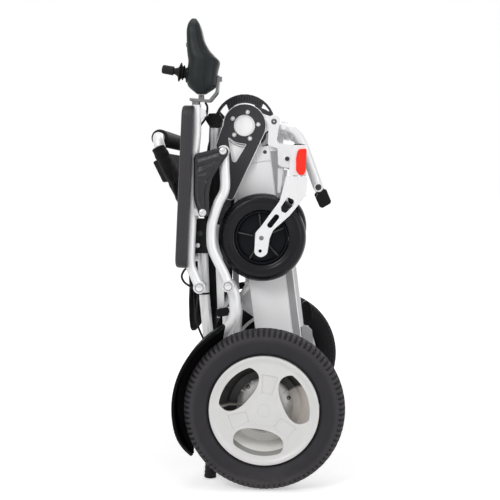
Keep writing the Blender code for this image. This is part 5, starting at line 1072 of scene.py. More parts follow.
def make_footrest():
    """Cross tube, two bent footrest tubes and the folded footplate."""
    reach = MOTOR_INNER_Y - 0.0085
    top, tip = HANGER_PATH[0], HANGER_PATH[-1]
    cross_tube("footrest_cross_tube", top, reach, 0.0125, "leg", "footrest_hanger", 40, 0.0006)
    for side_name, side in SIDES.items():
        y = side * (MOTOR_INNER_Y - 0.0005 - HANGER_R)
        path = bent(flat([(0.0215, 0.7172), *HANGER_PATH[1:]], y), 0.034, 14)
        path[-1] = path[-1] + (path[-2] - path[-1]) * 0.02
        sweep("footrest_tube_" + side_name, path, HANGER_R, "silver", "leg", sides=36)
        eye = [(CENTRE, -0.0096), (0.0090, -0.0096), (0.0102, -0.0086), (0.0102, 0.0086), (0.0090, 0.0096),
               (CENTRE, 0.0096)]
        turned("footrest_eye_" + side_name, eye, at(tip, y), ALONG_Y, "silver", "leg", steps=48)
        spacer = [at(top, side * (reach - 0.001)), at(top, side * (PLATE_LOW - 0.0003))]
        sweep("footrest_spacer_" + side_name, spacer, 0.0060, "silver", "leg")
        bolt("footrest_bolt_" + side_name, at(tip, y + side * 0.0096), (0, side, 0), 0.0048, "leg",
             "dark_steel", 0.0022)
    refined("footplate", "moulding", 0.0012)


# Chassis

def make_chassis():
    """Welded frame with eased edges; smooth skins over its round tubes; rubber feet and pivot bolts."""
    refined("chassis_frame", "frame", 0.0008)
    cross_tube("front_cross_tube", FRONT_TUBE, SEAT_Y + SEAT_R - 0.0030, FRONT_TUBE_R + 0.00015, "chassis")
    cross_tube("rear_cross_tube", AXLE, MOTOR_INNER_Y - 0.009, 0.02015, "chassis")
    cross_tube("upright_brace", (-0.0610, 0.3450), UPRIGHT_Y, 0.01012, "chassis", sides=48)
    stud = [(CENTRE, 0.0), (0.0052, 0.0), (0.0052, 0.0060), (0.0047, 0.0064), (0.0047, 0.0140),
            (CENTRE, 0.0144)]
    for side_name, side in SIDES.items():
        path = bent(flat(UPRIGHT_PATH, side * UPRIGHT_Y), 0.030, 1)
        sweep("upright_tube_" + side_name, path, UPRIGHT_R + 0.00015, "silver", "chassis", sides=40,
              chamfer=0)
        make_foot(side_name, side)
        pivot_head("stay_pivot_bolt_" + side_name, "stay_ring_" + side_name, STAY_PIVOT, 0.0006, side,
                   "chassis")
        for k, spot in enumerate(((-0.0905, 0.2900), (-0.1235, 0.1900))):
            turned("fender_stud_%s_%d" % (side_name, k), stud,
                   at(spot, side * (UPRIGHT_Y + UPRIGHT_R - 0.0005)), (0, side, 0), "steel", "chassis",
                   steps=32)


def make_foot(side_name, side):
    """Ribbed rubber tip in line with the upright, level where it stands."""
    bottom, above = np.array(UPRIGHT_PATH[-1]), np.array(UPRIGHT_PATH[-2])
    down = unit(bottom - above)
    share = np.linspace(0, 1, 40)
    reach = bottom[1] / -down[1]
    rings = 0.0125 - 0.0007 * (np.sin(share * 2 * np.pi * 4) > 0.2) * (share > 0.15) * (share < 0.85)
    rings[-2:] = (0.0123, 0.0115)
    rings[:2] = (0.0115, 0.0122)
    spots = bottom + down * (0.0003 + share[:, None] * (reach - 0.0003))
    angles = np.linspace(0, 2 * np.pi, 40, endpoint=False)
    spread = rings[:, None] * np.cos(angles)
    x = spots[:, :1] + spread * down[1]
    z = np.maximum(spots[:, 1:] - spread * down[0], 0.0)
    y = side * UPRIGHT_Y + rings[:, None] * np.sin(angles)
    surface("foot_tip_" + side_name, np.stack([x, y, z], -1), "soft_rubber", "chassis",
            "rubber_foot_" + side_name)


def make_battery_box(side_name, side):
    """Housing with eased edges, its cover strip and four screws."""
    refined("battery_box_" + side_name, "housing", 0.0016, 3)
    tilt = math.radians(7.3)

    def spot(down, right):
        """The place (X, Z) so far down and to the right of the housing's top corner."""
        return (0.0045 + down * math.sin(tilt) + right * math.cos(tilt),
                0.6785 - down * math.cos(tilt) + right * math.sin(tilt))

    strip = [spot(0.0115, 0.0012), spot(0.0135, 0.0148), spot(0.4310, 0.0148), spot(0.4310, 0.0012)]
    low = BOX_OUTER_Y - 0.0013
    plate("cover_strip_" + side_name, rounded(strip, 0.0012, 4), [], side * low, side * (low + 0.0010),
          "strip", "chassis", edge=0.0004, segments=2)
    for k, place in enumerate(((0.012, -0.010), (0.012, -0.064), (0.415, -0.010), (0.415, -0.064))):
        bolt("housing_screw_%s_%d" % (side_name, k), at(spot(*place), side * (BOX_OUTER_Y - 0.0002)),
             (0, side, 0), 0.0030, "chassis", "dark_steel", 0.0012)


def make_ring_plate(side_name, side):
    """Cover plate with a bolt ring, long foot and three-sided window, pale lines and screws in the ring."""
    head = arc_of(FRONT_TUBE, RING_R, 90, -28, 178)
    foot_line = [(-0.0915, 0.7130), (-0.1035, 0.6780), (-0.0960, 0.6600), (-0.0900, 0.6200),
                 (-0.0850, 0.5720), (-0.0700, 0.5660)]
    outline = np.vstack([head, bent([head[-1], *foot_line, head[0]], 0.006, 6)[1:-1]])
    window = rounded([(-0.0776, 0.6950), (-0.0674, 0.6866), (-0.0558, 0.6827), (-0.0411, 0.6807),
                      (-0.0615, 0.6465), (-0.0656, 0.6440), (-0.0697, 0.6475), (-0.0758, 0.6800)],
                     [0.0010, 0.0080, 0.0080, 0.0010, 0.0030, 0.0030, 0.0030, 0.0080])
    middle = arc_of(FRONT_TUBE, RING_HOLE_R, 72)
    spots = [on_circle(FRONT_TUBE, RING_BOLT_CIRCLE_R, 72 * k + 5) for k in range(5)]
    holes = [middle, window, *(arc_of(spot, 0.0050, 28) for spot in spots)]
    plate("ring_cover_" + side_name, outline, holes, side * PLATE_LOW, side * PLATE_HIGH, "charcoal",
          "chassis", "ring_plate_" + side_name, 0.0007)
    for tag, loop in (("edge", outline), ("hole", middle), ("window", window)):
        closed_sweep("ring_%s_line_%s" % (tag, side_name), flat(loop, side * (PLATE_HIGH - 0.0005)), 0.0007,
                     "silver", "chassis")
    for k, spot in enumerate(spots):
        bolt("ring_screw_%s_%d" % (side_name, k), at(spot, side * (PLATE_LOW + 0.0004)), (0, side, 0),
             0.0034, "chassis", "cap_white", 0.0016, False)
    hub = [(CENTRE, -0.0005), (0.0206, -0.0005), (0.0206, 0.0012), (0.0200, 0.0016), (CENTRE, 0.0014)]
    turned("front_hub_cap_" + side_name, hub, at(FRONT_TUBE, side * PLATE_LOW), (0, side, 0), "cap_white",
           "chassis", steps=72)

    def behind(name, shape, far, near, finish, edge):
        """A piece behind the plate, between two distances below its inner face."""
        plate(name + side_name, shape, [], side * (PLATE_LOW - far), side * (PLATE_LOW - near), finish,
              "chassis", edge=edge)

    def strip(inner, outer, start, end):
        """A strip between two arcs round the front tube."""
        return np.vstack([arc_of(FRONT_TUBE, outer, 40, start, end),
                          arc_of(FRONT_TUBE, inner, 40, start, end)[::-1]])

    behind("drum_lip_", strip(0.0392, 0.0430, 203, 292), 0.0040, 0.0008, "silver", 0.0008)
    # painted shade: a dark strip behind the lip, a little wider than it, shows as a dark outline round the
    # lip
    behind("drum_groove_", strip(0.0382, 0.0438, 202, 293), 0.0048, 0.0042, "charcoal", 0.0002)
    panel = rounded([(-0.0795, 0.6980), (-0.0674, 0.6900), (-0.0380, 0.6850), (-0.0600, 0.6430),
                     (-0.0715, 0.6430), (-0.0785, 0.6800)], 0.002)
    behind("window_panel_", panel, 0.0062, 0.0050, "cap_white", 0.0004)


# Back and seat

def make_back_frame():
    """Lower tubes from the floor pivots with their brace, and the upper tube bent over the top."""
    body = "back_unfold"
    for side_name, side in SIDES.items():
        path = bent(flat(BACK_PATH, side * BACK_Y), 0.040, 8)
        sweep("back_tube_" + side_name, path, BACK_R, "silver", body,
              "back_frame_lower" if side < 0 else None, 40)
        for name, spot, radius, low, high in (
                ("back_eye_", BACK_PIVOT, EYE_R, BACK_Y - 0.0106, BACK_Y + 0.0106),
                ("arm_boss_", ARM_PIVOT, EYE_R - 0.0025, BACK_Y + 0.005, ARM_Y - ARM_R - 0.0010)):
            profile = [(r, side * y) for r, y in boss(radius, low, high)]
            turned(name + side_name, profile, at(spot, 0), ALONG_Y, "silver", body, steps=56)
        pivot_head("arm_pivot_bolt_" + side_name, "arm_ring_" + side_name, ARM_PIVOT, 0.0004, side, body)
        bolt("back_pivot_bolt_" + side_name, at(BACK_PIVOT, side * (BACK_Y - 0.0110)), (0, -side, 0),
             0.0065, body, "steel", 0.0028)
    corner = (BRACE_BACK_X, BRACE_LOW[1])
    brace = bent([at(BRACE_LOW, -BACK_Y), at(corner, -BACK_Y), at(corner, BACK_Y), at(BRACE_LOW, BACK_Y)],
                 BRACE_BEND, 8)
    sweep("back_brace", brace, BACK_BRACE_R, "silver", body, sides=32)
    corners = [RECLINE_PIVOT, UPPER_BEND, PUSH_BAR]
    hoop = bent([*flat(corners, -BACK_Y), *flat(corners[::-1], BACK_Y)], UPPER_BEND_R, 12)
    sweep("back_hoop", hoop, BACK_R, "silver", "back_recline", "back_frame_upper", 40)


def softened(ahead):
    """How far a sleeve draws in towards each of its ends: the square of the nearness, over 3 mm."""
    return np.clip(1 - np.minimum(ahead, ahead[-1] - ahead) / 0.003, 0, 1) ** 2


def make_push_grip(ridges):
    """Foam sleeve over the straight top bar: rings whose radius follows a fine ripple."""
    reach = BACK_Y - UPPER_BEND_R - 0.0015
    path = spaced(np.array([at(PUSH_BAR, -reach), at(PUSH_BAR, reach)]), 0.0011)
    ahead = path[:, 1] + reach
    radius = GRIP_FOAM_R - ridges * (0.5 - 0.5 * np.cos(ahead * 2 * np.pi / 0.0075)) ** 6
    radius -= 0.0030 * softened(ahead)
    sweep("push_bar_foam", path, radius, "soft_rubber", "back_recline", "push_grip", 32)


def pad_grid(middle, up, half_long, half_wide, half_thick, across, along, seams, creases):
    """A cushion: a flattened sphere whose section is squared by powers of its two directions.

    The point (u, v) runs round the short section and along the width. The thickness falls to the side
    seams, sinks at the sewn channels, and carries shallow creases that follow crossed waves.
    """
    out = np.array([-up[1], up[0]])
    v = np.sin(np.pi / 2 * np.sin(np.linspace(-np.pi / 2, np.pi / 2, along)))[:, None]
    turn = np.linspace(0, 2 * np.pi, across, endpoint=False)[None, :]
    c, s = np.cos(turn), np.sin(turn)
    u = np.sign(c) * np.abs(c) ** 0.42
    h = np.sign(s) * np.abs(s) ** 0.55
    side_fall = (1 - np.abs(v) ** 36) ** 0.5
    grid_u = u * half_long * (1 - 0.05 * np.abs(v) ** 8) * (1 - 0.985 * np.abs(v) ** 60)
    crown = 0.92 + 0.08 * (1 - u ** 2) * (1 - v ** 2)
    height = h * half_thick * side_fall * crown
    width = half_wide * v * (1 - 0.035 * np.abs(u) ** 8)
    full = np.clip(np.abs(h) * side_fall * 1.4 - 0.2, 0, 1)
    for place, deep, vertical in seams:
        off = (v - place) / 0.012 if vertical else (u - place) / 0.030
        height = height - np.sign(h) * deep * np.exp(-off ** 2) * full
    wave = np.sin(grid_u * 95 + 3.1 * np.sin(width * 21 + 0.7))
    wave *= np.sin(width * 34 + 2.3 * np.sin(grid_u * 40 + 1.1))
    wave += 0.5 * np.sin(grid_u * 210 + width * 60 + 2.0 * np.sin(width * 47))
    height = height + creases * wave * full * np.sign(h) * 0.5
    x = middle[0] + up[0] * grid_u + out[0] * height
    z = middle[1] + up[1] * grid_u + out[1] * height
    return np.stack([x, width, z], -1)


def cushion(name, body, stands, fill, *shape):
    """A fabric cushion of the shape that pad_grid works out."""
    item = surface(name, pad_grid(*shape), "fabric", body, stands, "cap", 180.0)


def make_cushions(creases):
    """Both back cushions, the sleeves and the strap of the upper one, and the seat cushion."""
    start = np.array(RECLINE_PIVOT)
    way, left = heading(RECLINE_PIVOT, UPPER_BEND)
    cushion("back_pad_upper", "back_recline", "back_cushion", 0.7, start + way * 0.115, -way, 0.0650,
            0.2585, 0.0153, 96, 220, [(0.0, 0.0022, False), (-0.62, 0.0012, True), (0.62, 0.0012, True)],
            creases)
    for side_name, side in SIDES.items():
        path = spaced(flat([start + way * 0.035, start + way * 0.196], side * BACK_Y), 0.0015)
        ahead = np.linalg.norm(path - path[0], axis=1)
        radius = BACK_R + 0.0034 + 0.0005 * np.sin(ahead * 190 + 1.3 * np.sin(ahead * 83))
        radius += 0.0003 * np.sin(ahead * 410) - 0.0020 * softened(ahead)
        sweep("back_tube_sleeve_" + side_name, path, radius, "fabric", "back_recline", sides=40)
    strap = [start + way * s + left * t
             for s, t in ((0.1275, 0.0125), (0.1755, 0.0125), (0.1755, 0.0270), (0.1275, 0.0270))]
    plate("back_strap", rounded(strap, 0.0035, 6), [], -0.2100, 0.2100, "soft_rubber", "back_recline",
          edge=0.0015)
    cushion("back_pad_lower", "back_unfold", "back_cushion_lower", 0.6, (-0.1542, 0.3900), (0, -1), 0.1000,
            0.2250, 0.00975, 96, 200, [(0.0, 0.0018, False), (-0.5, 0.0010, True), (0.5, 0.0010, True)],
            creases * 0.7)
    way, left = heading(SEAT_PIVOT, SEAT_TOP)
    cushion("seat_pad", "seat", "seat_cushion", 0.6, SEAT_PIVOT + way * 0.2225 + left * 0.0089, way, 0.2075,
            0.2030, 0.0165, 120, 180, [(place, 0.0026, False) for place in (-0.34, 0.0, 0.34)], creases)


def make_seat_frame():
    """Two rails, two cross tubes, the end latches and the flat links to the chassis."""
    way, left = heading(SEAT_PIVOT, SEAT_TOP)
    for side_name, side in SIDES.items():
        y = side * SEAT_Y
        sweep("seat_rail_" + side_name, flat([SEAT_PIVOT, SEAT_TOP], y), SEAT_R, "silver", "seat",
              "seat_frame" if side < 0 else None, 40)
        ends = flat([SEAT_PIVOT + way * 0.0180, SEAT_PIVOT + way * 0.3850], y)
        sweep("seat_rail_sleeve_" + side_name, spaced(ends, 0.004), SEAT_R + 0.0003, "fabric", "seat",
              sides=40, chamfer=0.0008)
        refined("seat_latch_" + side_name, "moulding", 0.0014, 3)
        refined("seat_link_" + side_name, "silver", 0.0006)
        bolt("link_bolt_" + side_name, at(LINK_PIVOT, side * 0.2302), (0, side, 0), 0.0056,
             "seat_link_" + side_name, "steel", 0.0024)
    for k, share in enumerate((0.0600, 0.3800)):
        spot = SEAT_PIVOT + way * share - left * 0.0125
        cross_tube("seat_cross_tube_%d" % k, spot, SEAT_Y, 0.0080, "seat", None, 32, 0.0006)


def make_recline(side_name, side):
    """The catch block between the two halves of the back, its button and its bolt."""
    refined("recline_block_" + side_name, "moulding", 0.0012, 3)
    refined("recline_button_" + side_name, "steel", 0.0004)
    bolt("recline_bolt_" + side_name, at(RECLINE_PIVOT, side * (BACK_Y + 0.0158)), (0, side, 0), 0.0044,
         "back_unfold", "dark_steel", 0.0020)


# Arms

def make_arm(side_name, side):
    """Bent armrest tube and bent stay with their eyes, the skirt guard's lug and the tube's stop."""
    arm, stay = "arm_" + side_name, "stay_" + side_name
    path = spaced(bent(flat(ARM_PATH, side * ARM_Y), 0.022, 10), 0.02)
    sweep("armrest_tube_" + side_name, path, ARM_R, "silver", arm, "arm_tube_" + side_name, 40)
    curve = spaced(eased(flat(STAY_PATH, side * ARM_Y), 8), 0.02)
    sweep("stay_tube_" + side_name, curve, ARM_R, "silver", stay, "arm_stay_" + side_name, 40)
    for name, spot, radius, body in (("arm_eye_", ARM_PIVOT, EYE_R, arm),
                                     ("stay_eye_", STAY_PIVOT, EYE_R, stay),
                                     ("guard_eye_", GUARD_PIVOT, EYE_R - 0.001, stay)):
        turned(name + side_name, boss(radius, -0.0096, 0.0096), at(spot, side * ARM_Y), ALONG_Y, "silver",
               body, steps=56)
    a, b = np.array(ARM_PATH[2]), np.array(ARM_PATH[3])
    x, z = a + (b - a) * 0.58
    lug = lobe((x + 0.0050, z), GUARD_BOLT, 0.0065, 0.0080)
    plate("guard_lug_" + side_name, lug, [], side * (ARM_Y + 0.0050), side * ARM_FACE, "silver", arm,
          edge=0.0008)
    stop = rounded([(-0.1330, 0.7493), (-0.1188, 0.7477), (-0.1169, 0.7352), (-0.1330, 0.7243)], 0.003)
    plate("arm_stop_" + side_name, stop, [], side * (ARM_Y - 0.0035), side * (ARM_Y + 0.0035), "silver",
          arm, edge=0.0010)


def make_arm_pad(side_name, side):
    """Armrest foam: a rounded oblong whose outline shrinks towards both faces, and the seam round it."""
    body = "arm_" + side_name
    low, high = np.array(PAD_LOW), np.array(PAD_HIGH)
    way, out = heading(PAD_LOW, PAD_HIGH)
    half_long, half_wide = np.linalg.norm(high - low) / 2, 0.0280

    def row(offset, inset, least=0.006):
        """The outline drawn in by the inset, so far from the pad's flat side."""
        loop = oblong(inset - half_long, half_long - inset, half_wide - inset, max(0.020 - inset, least),
                      12)
        spots = (low + high) / 2 + loop[:, :1] * way + out * offset
        return np.stack([spots[:, 0], loop[:, 1] + side * ARM_Y, spots[:, 1]], -1)

    levels = eased([(0.0, 0.0046), (0.0005, 0.0016), (0.0022, 0.0003), (0.0060, 0.0), (0.0150, 0.0),
                    (0.0190, 0.0004), (0.0222, 0.0022), (0.0238, 0.0062), (0.0244, 0.0125)], 4)
    item = surface("arm_cushion_" + side_name, np.array([row(*level) for level in levels]), "vinyl", body,
                   "arm_pad_" + side_name, "cap", 60.0)
    closed_sweep("arm_cushion_seam_" + side_name, row(0.0105, 0.0002, 0.020), 0.0006, "vinyl", body)


GUARD_LOW, GUARD_HIGH = 0.5356, 0.6735
GUARD_BACK = ((-0.1292, GUARD_LOW), (-0.1339, 0.5482), (-0.1400, 0.5680), (-0.1417, 0.5800),
              (-0.1415, 0.6297), (-0.1411, 0.6510), (-0.1385, 0.6575), (-0.1335, 0.6610), (-0.0900, 0.6718),
              (-0.0832, GUARD_HIGH))
GUARD_FRONT = ((-0.1166, GUARD_LOW), (-0.1125, 0.5400), (-0.1112, 0.5451), (-0.1117, 0.5828),
               (-0.1053, 0.6110), (-0.0895, 0.6360), (-0.0745, 0.6560), (-0.0722, 0.6656),
               (-0.0760, 0.6712), (-0.0832, GUARD_HIGH))


def make_side_guard(side_name, side):
    """Skirt guard: rows between two side lines; its face has a rolled border, a sunk middle and soft folds.

    Each fold is a bell curve across a slanting line; the border comes from the distance to the nearer edge.
    """
    body = "arm_" + side_name
    inner, outer = ARM_FACE + 0.0015, ARM_FACE + 0.0095
    z = GUARD_LOW + (GUARD_HIGH - GUARD_LOW) * np.sin(np.linspace(0, np.pi / 2, 150))
    back, front = (np.interp(z, *np.array(line).T[::-1])[:, None] for line in (GUARD_BACK, GUARD_FRONT))
    t = 0.5 - 0.5 * np.cos(np.linspace(0, np.pi, 72))
    x = back + (front - back) * t
    z = z[:, None] * np.ones_like(t)
    edge = np.minimum(np.minimum(x - back, front - x), np.minimum(z - GUARD_LOW, GUARD_HIGH - z))
    slope = (0.6610 + (x + 0.1335) * 0.2485) - z
    edge = np.minimum(edge, np.where(x > -0.1385, np.maximum(slope, 0), edge))
    inside = eased_step(edge, 0.0060, 0.0095)
    y = outer - 0.0030 * (1 - eased_step(edge, 0, 0.0035)) - 0.0024 * inside
    for lean, height, spread, size, start, end in (
            (0.30, 0.6440, 0.0050, 0.0022, -0.142, -0.085), (0.55, 0.6270, 0.0034, 0.0020, -0.136, -0.094),
            (0.10, 0.6160, 0.0028, 0.0018, -0.142, -0.112), (-0.25, 0.6050, 0.0030, 0.0014, -0.140, -0.110),
            (0.20, 0.6350, 0.0030, -0.0016, -0.139, -0.100)):
        off = z - (height + lean * (x + 0.125))
        fades = eased_step(x, start, start + 0.006) * (1 - eased_step(x, end - 0.006, end))
        y = y + inside * size * np.exp(-(off / spread) ** 2) * fades
    spine = 0.0016 * np.exp(-((x + 0.1270 + 0.10 * (z - 0.575)) / 0.0042) ** 2)
    spine *= eased_step(z, 0.552, 0.562) * (1 - eased_step(z, 0.600, 0.612))
    small = 0.0003 * np.sin(x * 900 + 3 * np.sin(z * 310)) * np.sin(z * 520 + 2 * np.sin(x * 400))
    y = y + inside * (spine + small)
    for spot in (GUARD_PIVOT, GUARD_BOLT):
        away = np.hypot(x - spot[0], z - spot[1])
        seat = outer + 0.0010 * (1 - eased_step(away, 0.0070, 0.0085)) - 0.0004
        y = np.where(away < 0.0085, np.maximum(y, seat), y)
    face = np.stack([x, side * y, z], -1)
    rear = np.stack([x[:, ::-1], np.full_like(x, side * inner), z], -1)
    surface("skirt_guard_" + side_name, np.concatenate([face, rear], 1), "guard", body,
            "side_guard_" + side_name, "cap", 60.0)
    spacer = [(CENTRE, -0.0011), (0.0078, -0.0011), (0.0078, 0.0010), (CENTRE, 0.0010)]
    for k, spot in enumerate((GUARD_PIVOT, GUARD_BOLT)):
        turned("guard_spacer_%s_%d" % (side_name, k), spacer, at(spot, side * inner), (0, side, 0),
               "moulding", body, steps=32)
        bolt("guard_bolt_%s_%d" % (side_name, k), at(spot, side * (outer + 0.0005)), (0, side, 0), 0.0056,
             body, "steel", 0.0018)


# Joystick

def make_joystick():
    """Housing lofted through eased sections, its keys and lamps, and the stick with its pleated boot."""
    sections = eased([(0.7775, -0.1350, -0.1180, 0.0200), (0.7900, -0.1495, -0.0985, 0.0290),
                      (0.8000, -0.1528, -0.0960, 0.0330), (0.8200, -0.1522, -0.0937, 0.0330),
                      (0.8394, -0.1502, -0.0898, 0.0330), (0.8500, -0.1512, -0.0985, 0.0320),
                      (0.8620, -0.1524, -0.1090, 0.0290), (0.8800, -0.1528, -0.1190, 0.0260),
                      (0.9000, -0.1530, -0.1240, 0.0230), (0.9140, -0.1500, -0.1287, 0.0170),
                      (0.9230, -0.1440, -0.1350, 0.0080)], 5)
    rows = []
    for z, left, right, half in sections:
        loop = oblong(left, right, half, min(right - left, 2 * half) * 0.38, 10)
        rows.append(np.stack([loop[:, 0], loop[:, 1] - POD_Y, np.full(len(loop), z)], -1))
    surface("control_housing", np.array(rows), "control", "arm_right", "joystick_pod", "cap", 60.0)
    for tag, sign in (("outer", -1), ("inner", 1)):
        seam = [(0.5 * (left + right) + 0.006, -POD_Y + sign * (half - 0.0003), z)
                for z, left, right, half in sections[3:-3]]
        sweep("housing_seam_" + tag, seam, 0.0006, "moulding", "arm_right", sides=8, chamfer=0)
    lamp = [(CENTRE, -0.0010), (0.0014, -0.0010), (0.0014, 0.0002), (CENTRE, 0.0006)]
    for k in range(5):
        turned("charge_lamp_%d" % k, lamp, (-0.1528, -POD_Y - 0.008 + 0.004 * k, 0.8870), (-1, 0, 0),
               "lamp", "arm_right", steps=16)
    refined("power_button", "button", 0.0004)
    refined("horn_button", "button", 0.0004)
    way = np.array([-math.cos(STICK_TILT), 0.0, math.sin(STICK_TILT)])
    foot = np.array(at(POD_FACE, -POD_Y))
    collar = [(0.0150, -0.0020), (0.0150, 0.0006), (0.0162, 0.0012), (0.0176, 0.0010), (0.0180, 0.0),
              (0.0180, -0.0020)]
    turned("stick_collar", collar, foot + way * 0.0002, way, "moulding", "arm_right", ends="ring")
    refined("joystick_gimbal", "button", 0.0)
    boot = [(CENTRE, 0.0004), (0.0060, 0.0006), (0.0090, 0.0020), (0.0112, 0.0036), (0.0102, 0.0050),
            (0.0100, 0.0060), (0.0118, 0.0072), (0.0150, 0.0088), (0.0134, 0.0104), (0.0120, 0.0114),
            (0.0136, 0.0128), (0.0184, 0.0150), (0.0180, 0.0164), (0.0110, 0.0186), (0.0076, 0.0222),
            (0.0060, 0.0272), (0.0064, 0.0280), (0.0084, 0.0286), (0.0088, 0.0300), (0.0086, 0.0400),
            (0.0086, 0.0470), (0.0080, 0.0500), (0.0060, 0.0516), (CENTRE, 0.0520)]
    turned("stick_and_boot", eased(boot, 4), foot, way, "soft_rubber", "joystick", "joystick", 56)
    sweep("stick_post", [foot - way * 0.0095, foot + way * 0.0050], 0.0036, "steel", "joystick", sides=24)
    refined("joystick_bracket", "bracket", 0.0014, 3)


LEAD = ((-0.1180, 0.2950, 0.7600), (-0.1160, 0.2800, 0.7520), (-0.1200, 0.2750, 0.7320),
        (-0.1340, 0.2756, 0.7100), (-0.1378, 0.2757, 0.6800), (-0.1400, 0.2757, 0.6400),
        (-0.1430, 0.2757, 0.5800), (-0.1462, 0.2757, 0.5150), (-0.1490, 0.2757, 0.4600),
        (-0.1530, 0.2750, 0.4365), (-0.1640, 0.2745, 0.4270), (-0.1695, 0.2742, 0.4140),
        (-0.1635, 0.2742, 0.4015), (-0.1490, 0.2744, 0.3920), (-0.1400, 0.2740, 0.3850),
        (-0.1365, 0.2725, 0.3760), (-0.1380, 0.2680, 0.3640), (-0.1415, 0.2620, 0.3440),
        (-0.1420, 0.2590, 0.3230), (-0.1330, 0.2570, 0.2960), (-0.1230, 0.2555, 0.2750),
        (-0.1192, 0.2530, 0.2660))
LEAD_THICK = 0.0044


def make_lead():
    """Control lead along the armrest tube and past the arm joint to the back tube, and its ties."""
    path = eased(np.array(LEAD) * [1, -1, 1], 6)
    item = sweep("control_lead", path, LEAD_THICK / 2, "soft_rubber", None, None, 12, 0.0003)
    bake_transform(item)
    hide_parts("arm_lead", "back_lead")
    low, high = np.array(BACK_PATH[2]), np.array(BACK_PATH[3])
    band = [(BACK_R + 0.0002, -0.0020), (BACK_R + 0.0011, -0.0016), (BACK_R + 0.0011, 0.0016),
            (BACK_R + 0.0002, 0.0020)]
    turned("back_tube_tie", band, at(low + (high - low) * 0.045, -BACK_Y), at(high - low, 0), "moulding",
           "back_unfold", steps=48, ends="ring")
    tie = [(0.0028, -0.0016), (0.0034, -0.0016), (0.0034, 0.0016), (0.0028, 0.0016)]
    for k, share in enumerate((0.24, 0.40)):
        turned("lead_tie_%d" % k, tie, path[int(len(path) * share)], (0.05, 0, 1), "moulding", "arm_right",
               steps=24, ends="ring")


# Stage

SENSOR_WIDTH = 36.0
PHOTO_WIDTH = 500.0
FOCAL_PIXELS = 1031.155
FLOOR_REACH = 30.0
FLOOR_Z = -0.0005


def make_stage():
    """Pale floor and background, soft lamps and the camera at the photograph's angle."""
    scene = bpy.context.scene
    scene.view_settings.view_transform = "Standard"
    world = bpy.data.worlds.new("studio")
    world.use_nodes = True
    tree = world.node_tree
    tree.nodes.clear()
    path = put(tree, "LightPath").outputs
    seen = maths(tree, "MAXIMUM", maths(tree, "MAXIMUM", path["Is Camera Ray"], path["Is Glossy Ray"]),
                 path["Is Transmission Ray"])
    plain = put(tree, "Background", {"Color": (1.0, 1.0, 1.0, 1.0), "Strength": 0.34})
    white = put(tree, "Background", {"Color": (1.0, 1.0, 1.0, 1.0), "Strength": 1.0})
    both = put(tree, "MixShader", {0: seen, 1: plain.outputs[0], 2: white.outputs[0]})
    put(tree, "OutputWorld", {"Surface": both.outputs[0]})
    scene.world = world
    corners = [(x * FLOOR_REACH, y * FLOOR_REACH, FLOOR_Z) for x, y in ((-1, -1), (1, -1), (1, 1), (-1, 1))]
    floor = build("floor", corners, [np.array([[0, 1, 2, 3]])])
    material = bpy.data.materials.new("white_floor")
    material.use_nodes = True
    tree = material.node_tree
    shader = tree.nodes["Principled BSDF"]
    for socket, value in (("Base Color", (0.90, 0.90, 0.90, 1.0)), ("Roughness", 0.9),
                          ("Specular IOR Level", 0.0), ("Emission Color", (1.0, 1.0, 1.0, 1.0))):
        shader.inputs[socket].default_value = value
    rays = put(tree, "LightPath").outputs
    lifted = maths(tree, "MAXIMUM", rays["Is Camera Ray"], rays["Is Glossy Ray"])
    place = put(tree, "TexCoord").outputs["Object"]
    away = put(tree, "VectorMath", {0: place}, operation="LENGTH").outputs["Value"]
    lift = ranged(tree, away, 0.6, 3.0, 0.45, 0.75)
    tree.links.new(maths(tree, "MULTIPLY", lifted, lift), shader.inputs["Emission Strength"])
    floor.data.materials.append(material)
    lamps = (("key_lamp", (-1.4, -2.6, 2.4), 1.3, 44.0), ("fill_lamp", (2.2, -2.0, 1.0), 1.6, 17.0),
             ("back_lamp", (0.8, 2.4, 2.2), 1.4, 18.0), ("top_lamp", (0.0, -0.2, 3.0), 1.8, 20.0))
    for name, place, size, power in lamps:
        light = bpy.data.lights.new(name, "AREA")
        light.size = size
        light.energy = power
        lamp = bpy.data.objects.new(name, light)
        lamp.location = place
        way = Vector((-0.03, 0, 0.45)) - Vector(place)
        lamp.rotation_euler = way.to_track_quat("-Z", "Y").to_euler()
        scene.collection.objects.link(lamp)
    camera_data = bpy.data.cameras.new("camera")
    camera_data.sensor_width = SENSOR_WIDTH
    camera_data.lens = SENSOR_WIDTH * FOCAL_PIXELS / PHOTO_WIDTH
    camera_data.clip_end = 50.0
    camera = bpy.data.objects.new("camera", camera_data)
    camera.location = (0.08341, -2.33721, 0.61217)
    pan, tilt = math.radians(3.187), math.radians(3.989)
    camera.rotation_euler = (math.radians(90) - tilt, 0.0, pan)
    scene.collection.objects.link(camera)
    scene.camera = camera


# Sizes and colours that a user may change

class WheelchairSizes(bpy.types.PropertyGroup):
    """Sizes of the fine detail."""
    tread_deep: bpy.props.FloatProperty(name="Tread depth", description="Depth of the drive tyres' tread",
                                        default=0.0024, min=0.0005, max=0.004, unit="LENGTH")
    tread_lugs: bpy.props.IntProperty(name="Tread slots", description="Shoulder slots round a drive tyre",
                                      default=90, min=60, max=120)
    foam_ridge: bpy.props.FloatProperty(name="Foam ridge",
                                        description="Depth of the grooves in the push bar's foam",
                                        default=0.0008, min=0.0, max=0.002, unit="LENGTH")
    crease: bpy.props.FloatProperty(name="Crease depth", description="Depth of the creases in the fabric",
                                    default=0.0009, min=0.0, max=0.003, unit="LENGTH")


def colour_property(name, description, default):
    """A colour that a user may change."""
    return bpy.props.FloatVectorProperty(name=name, description=description, default=default, size=3,
                                         min=0.0, max=1.0, subtype="COLOR")


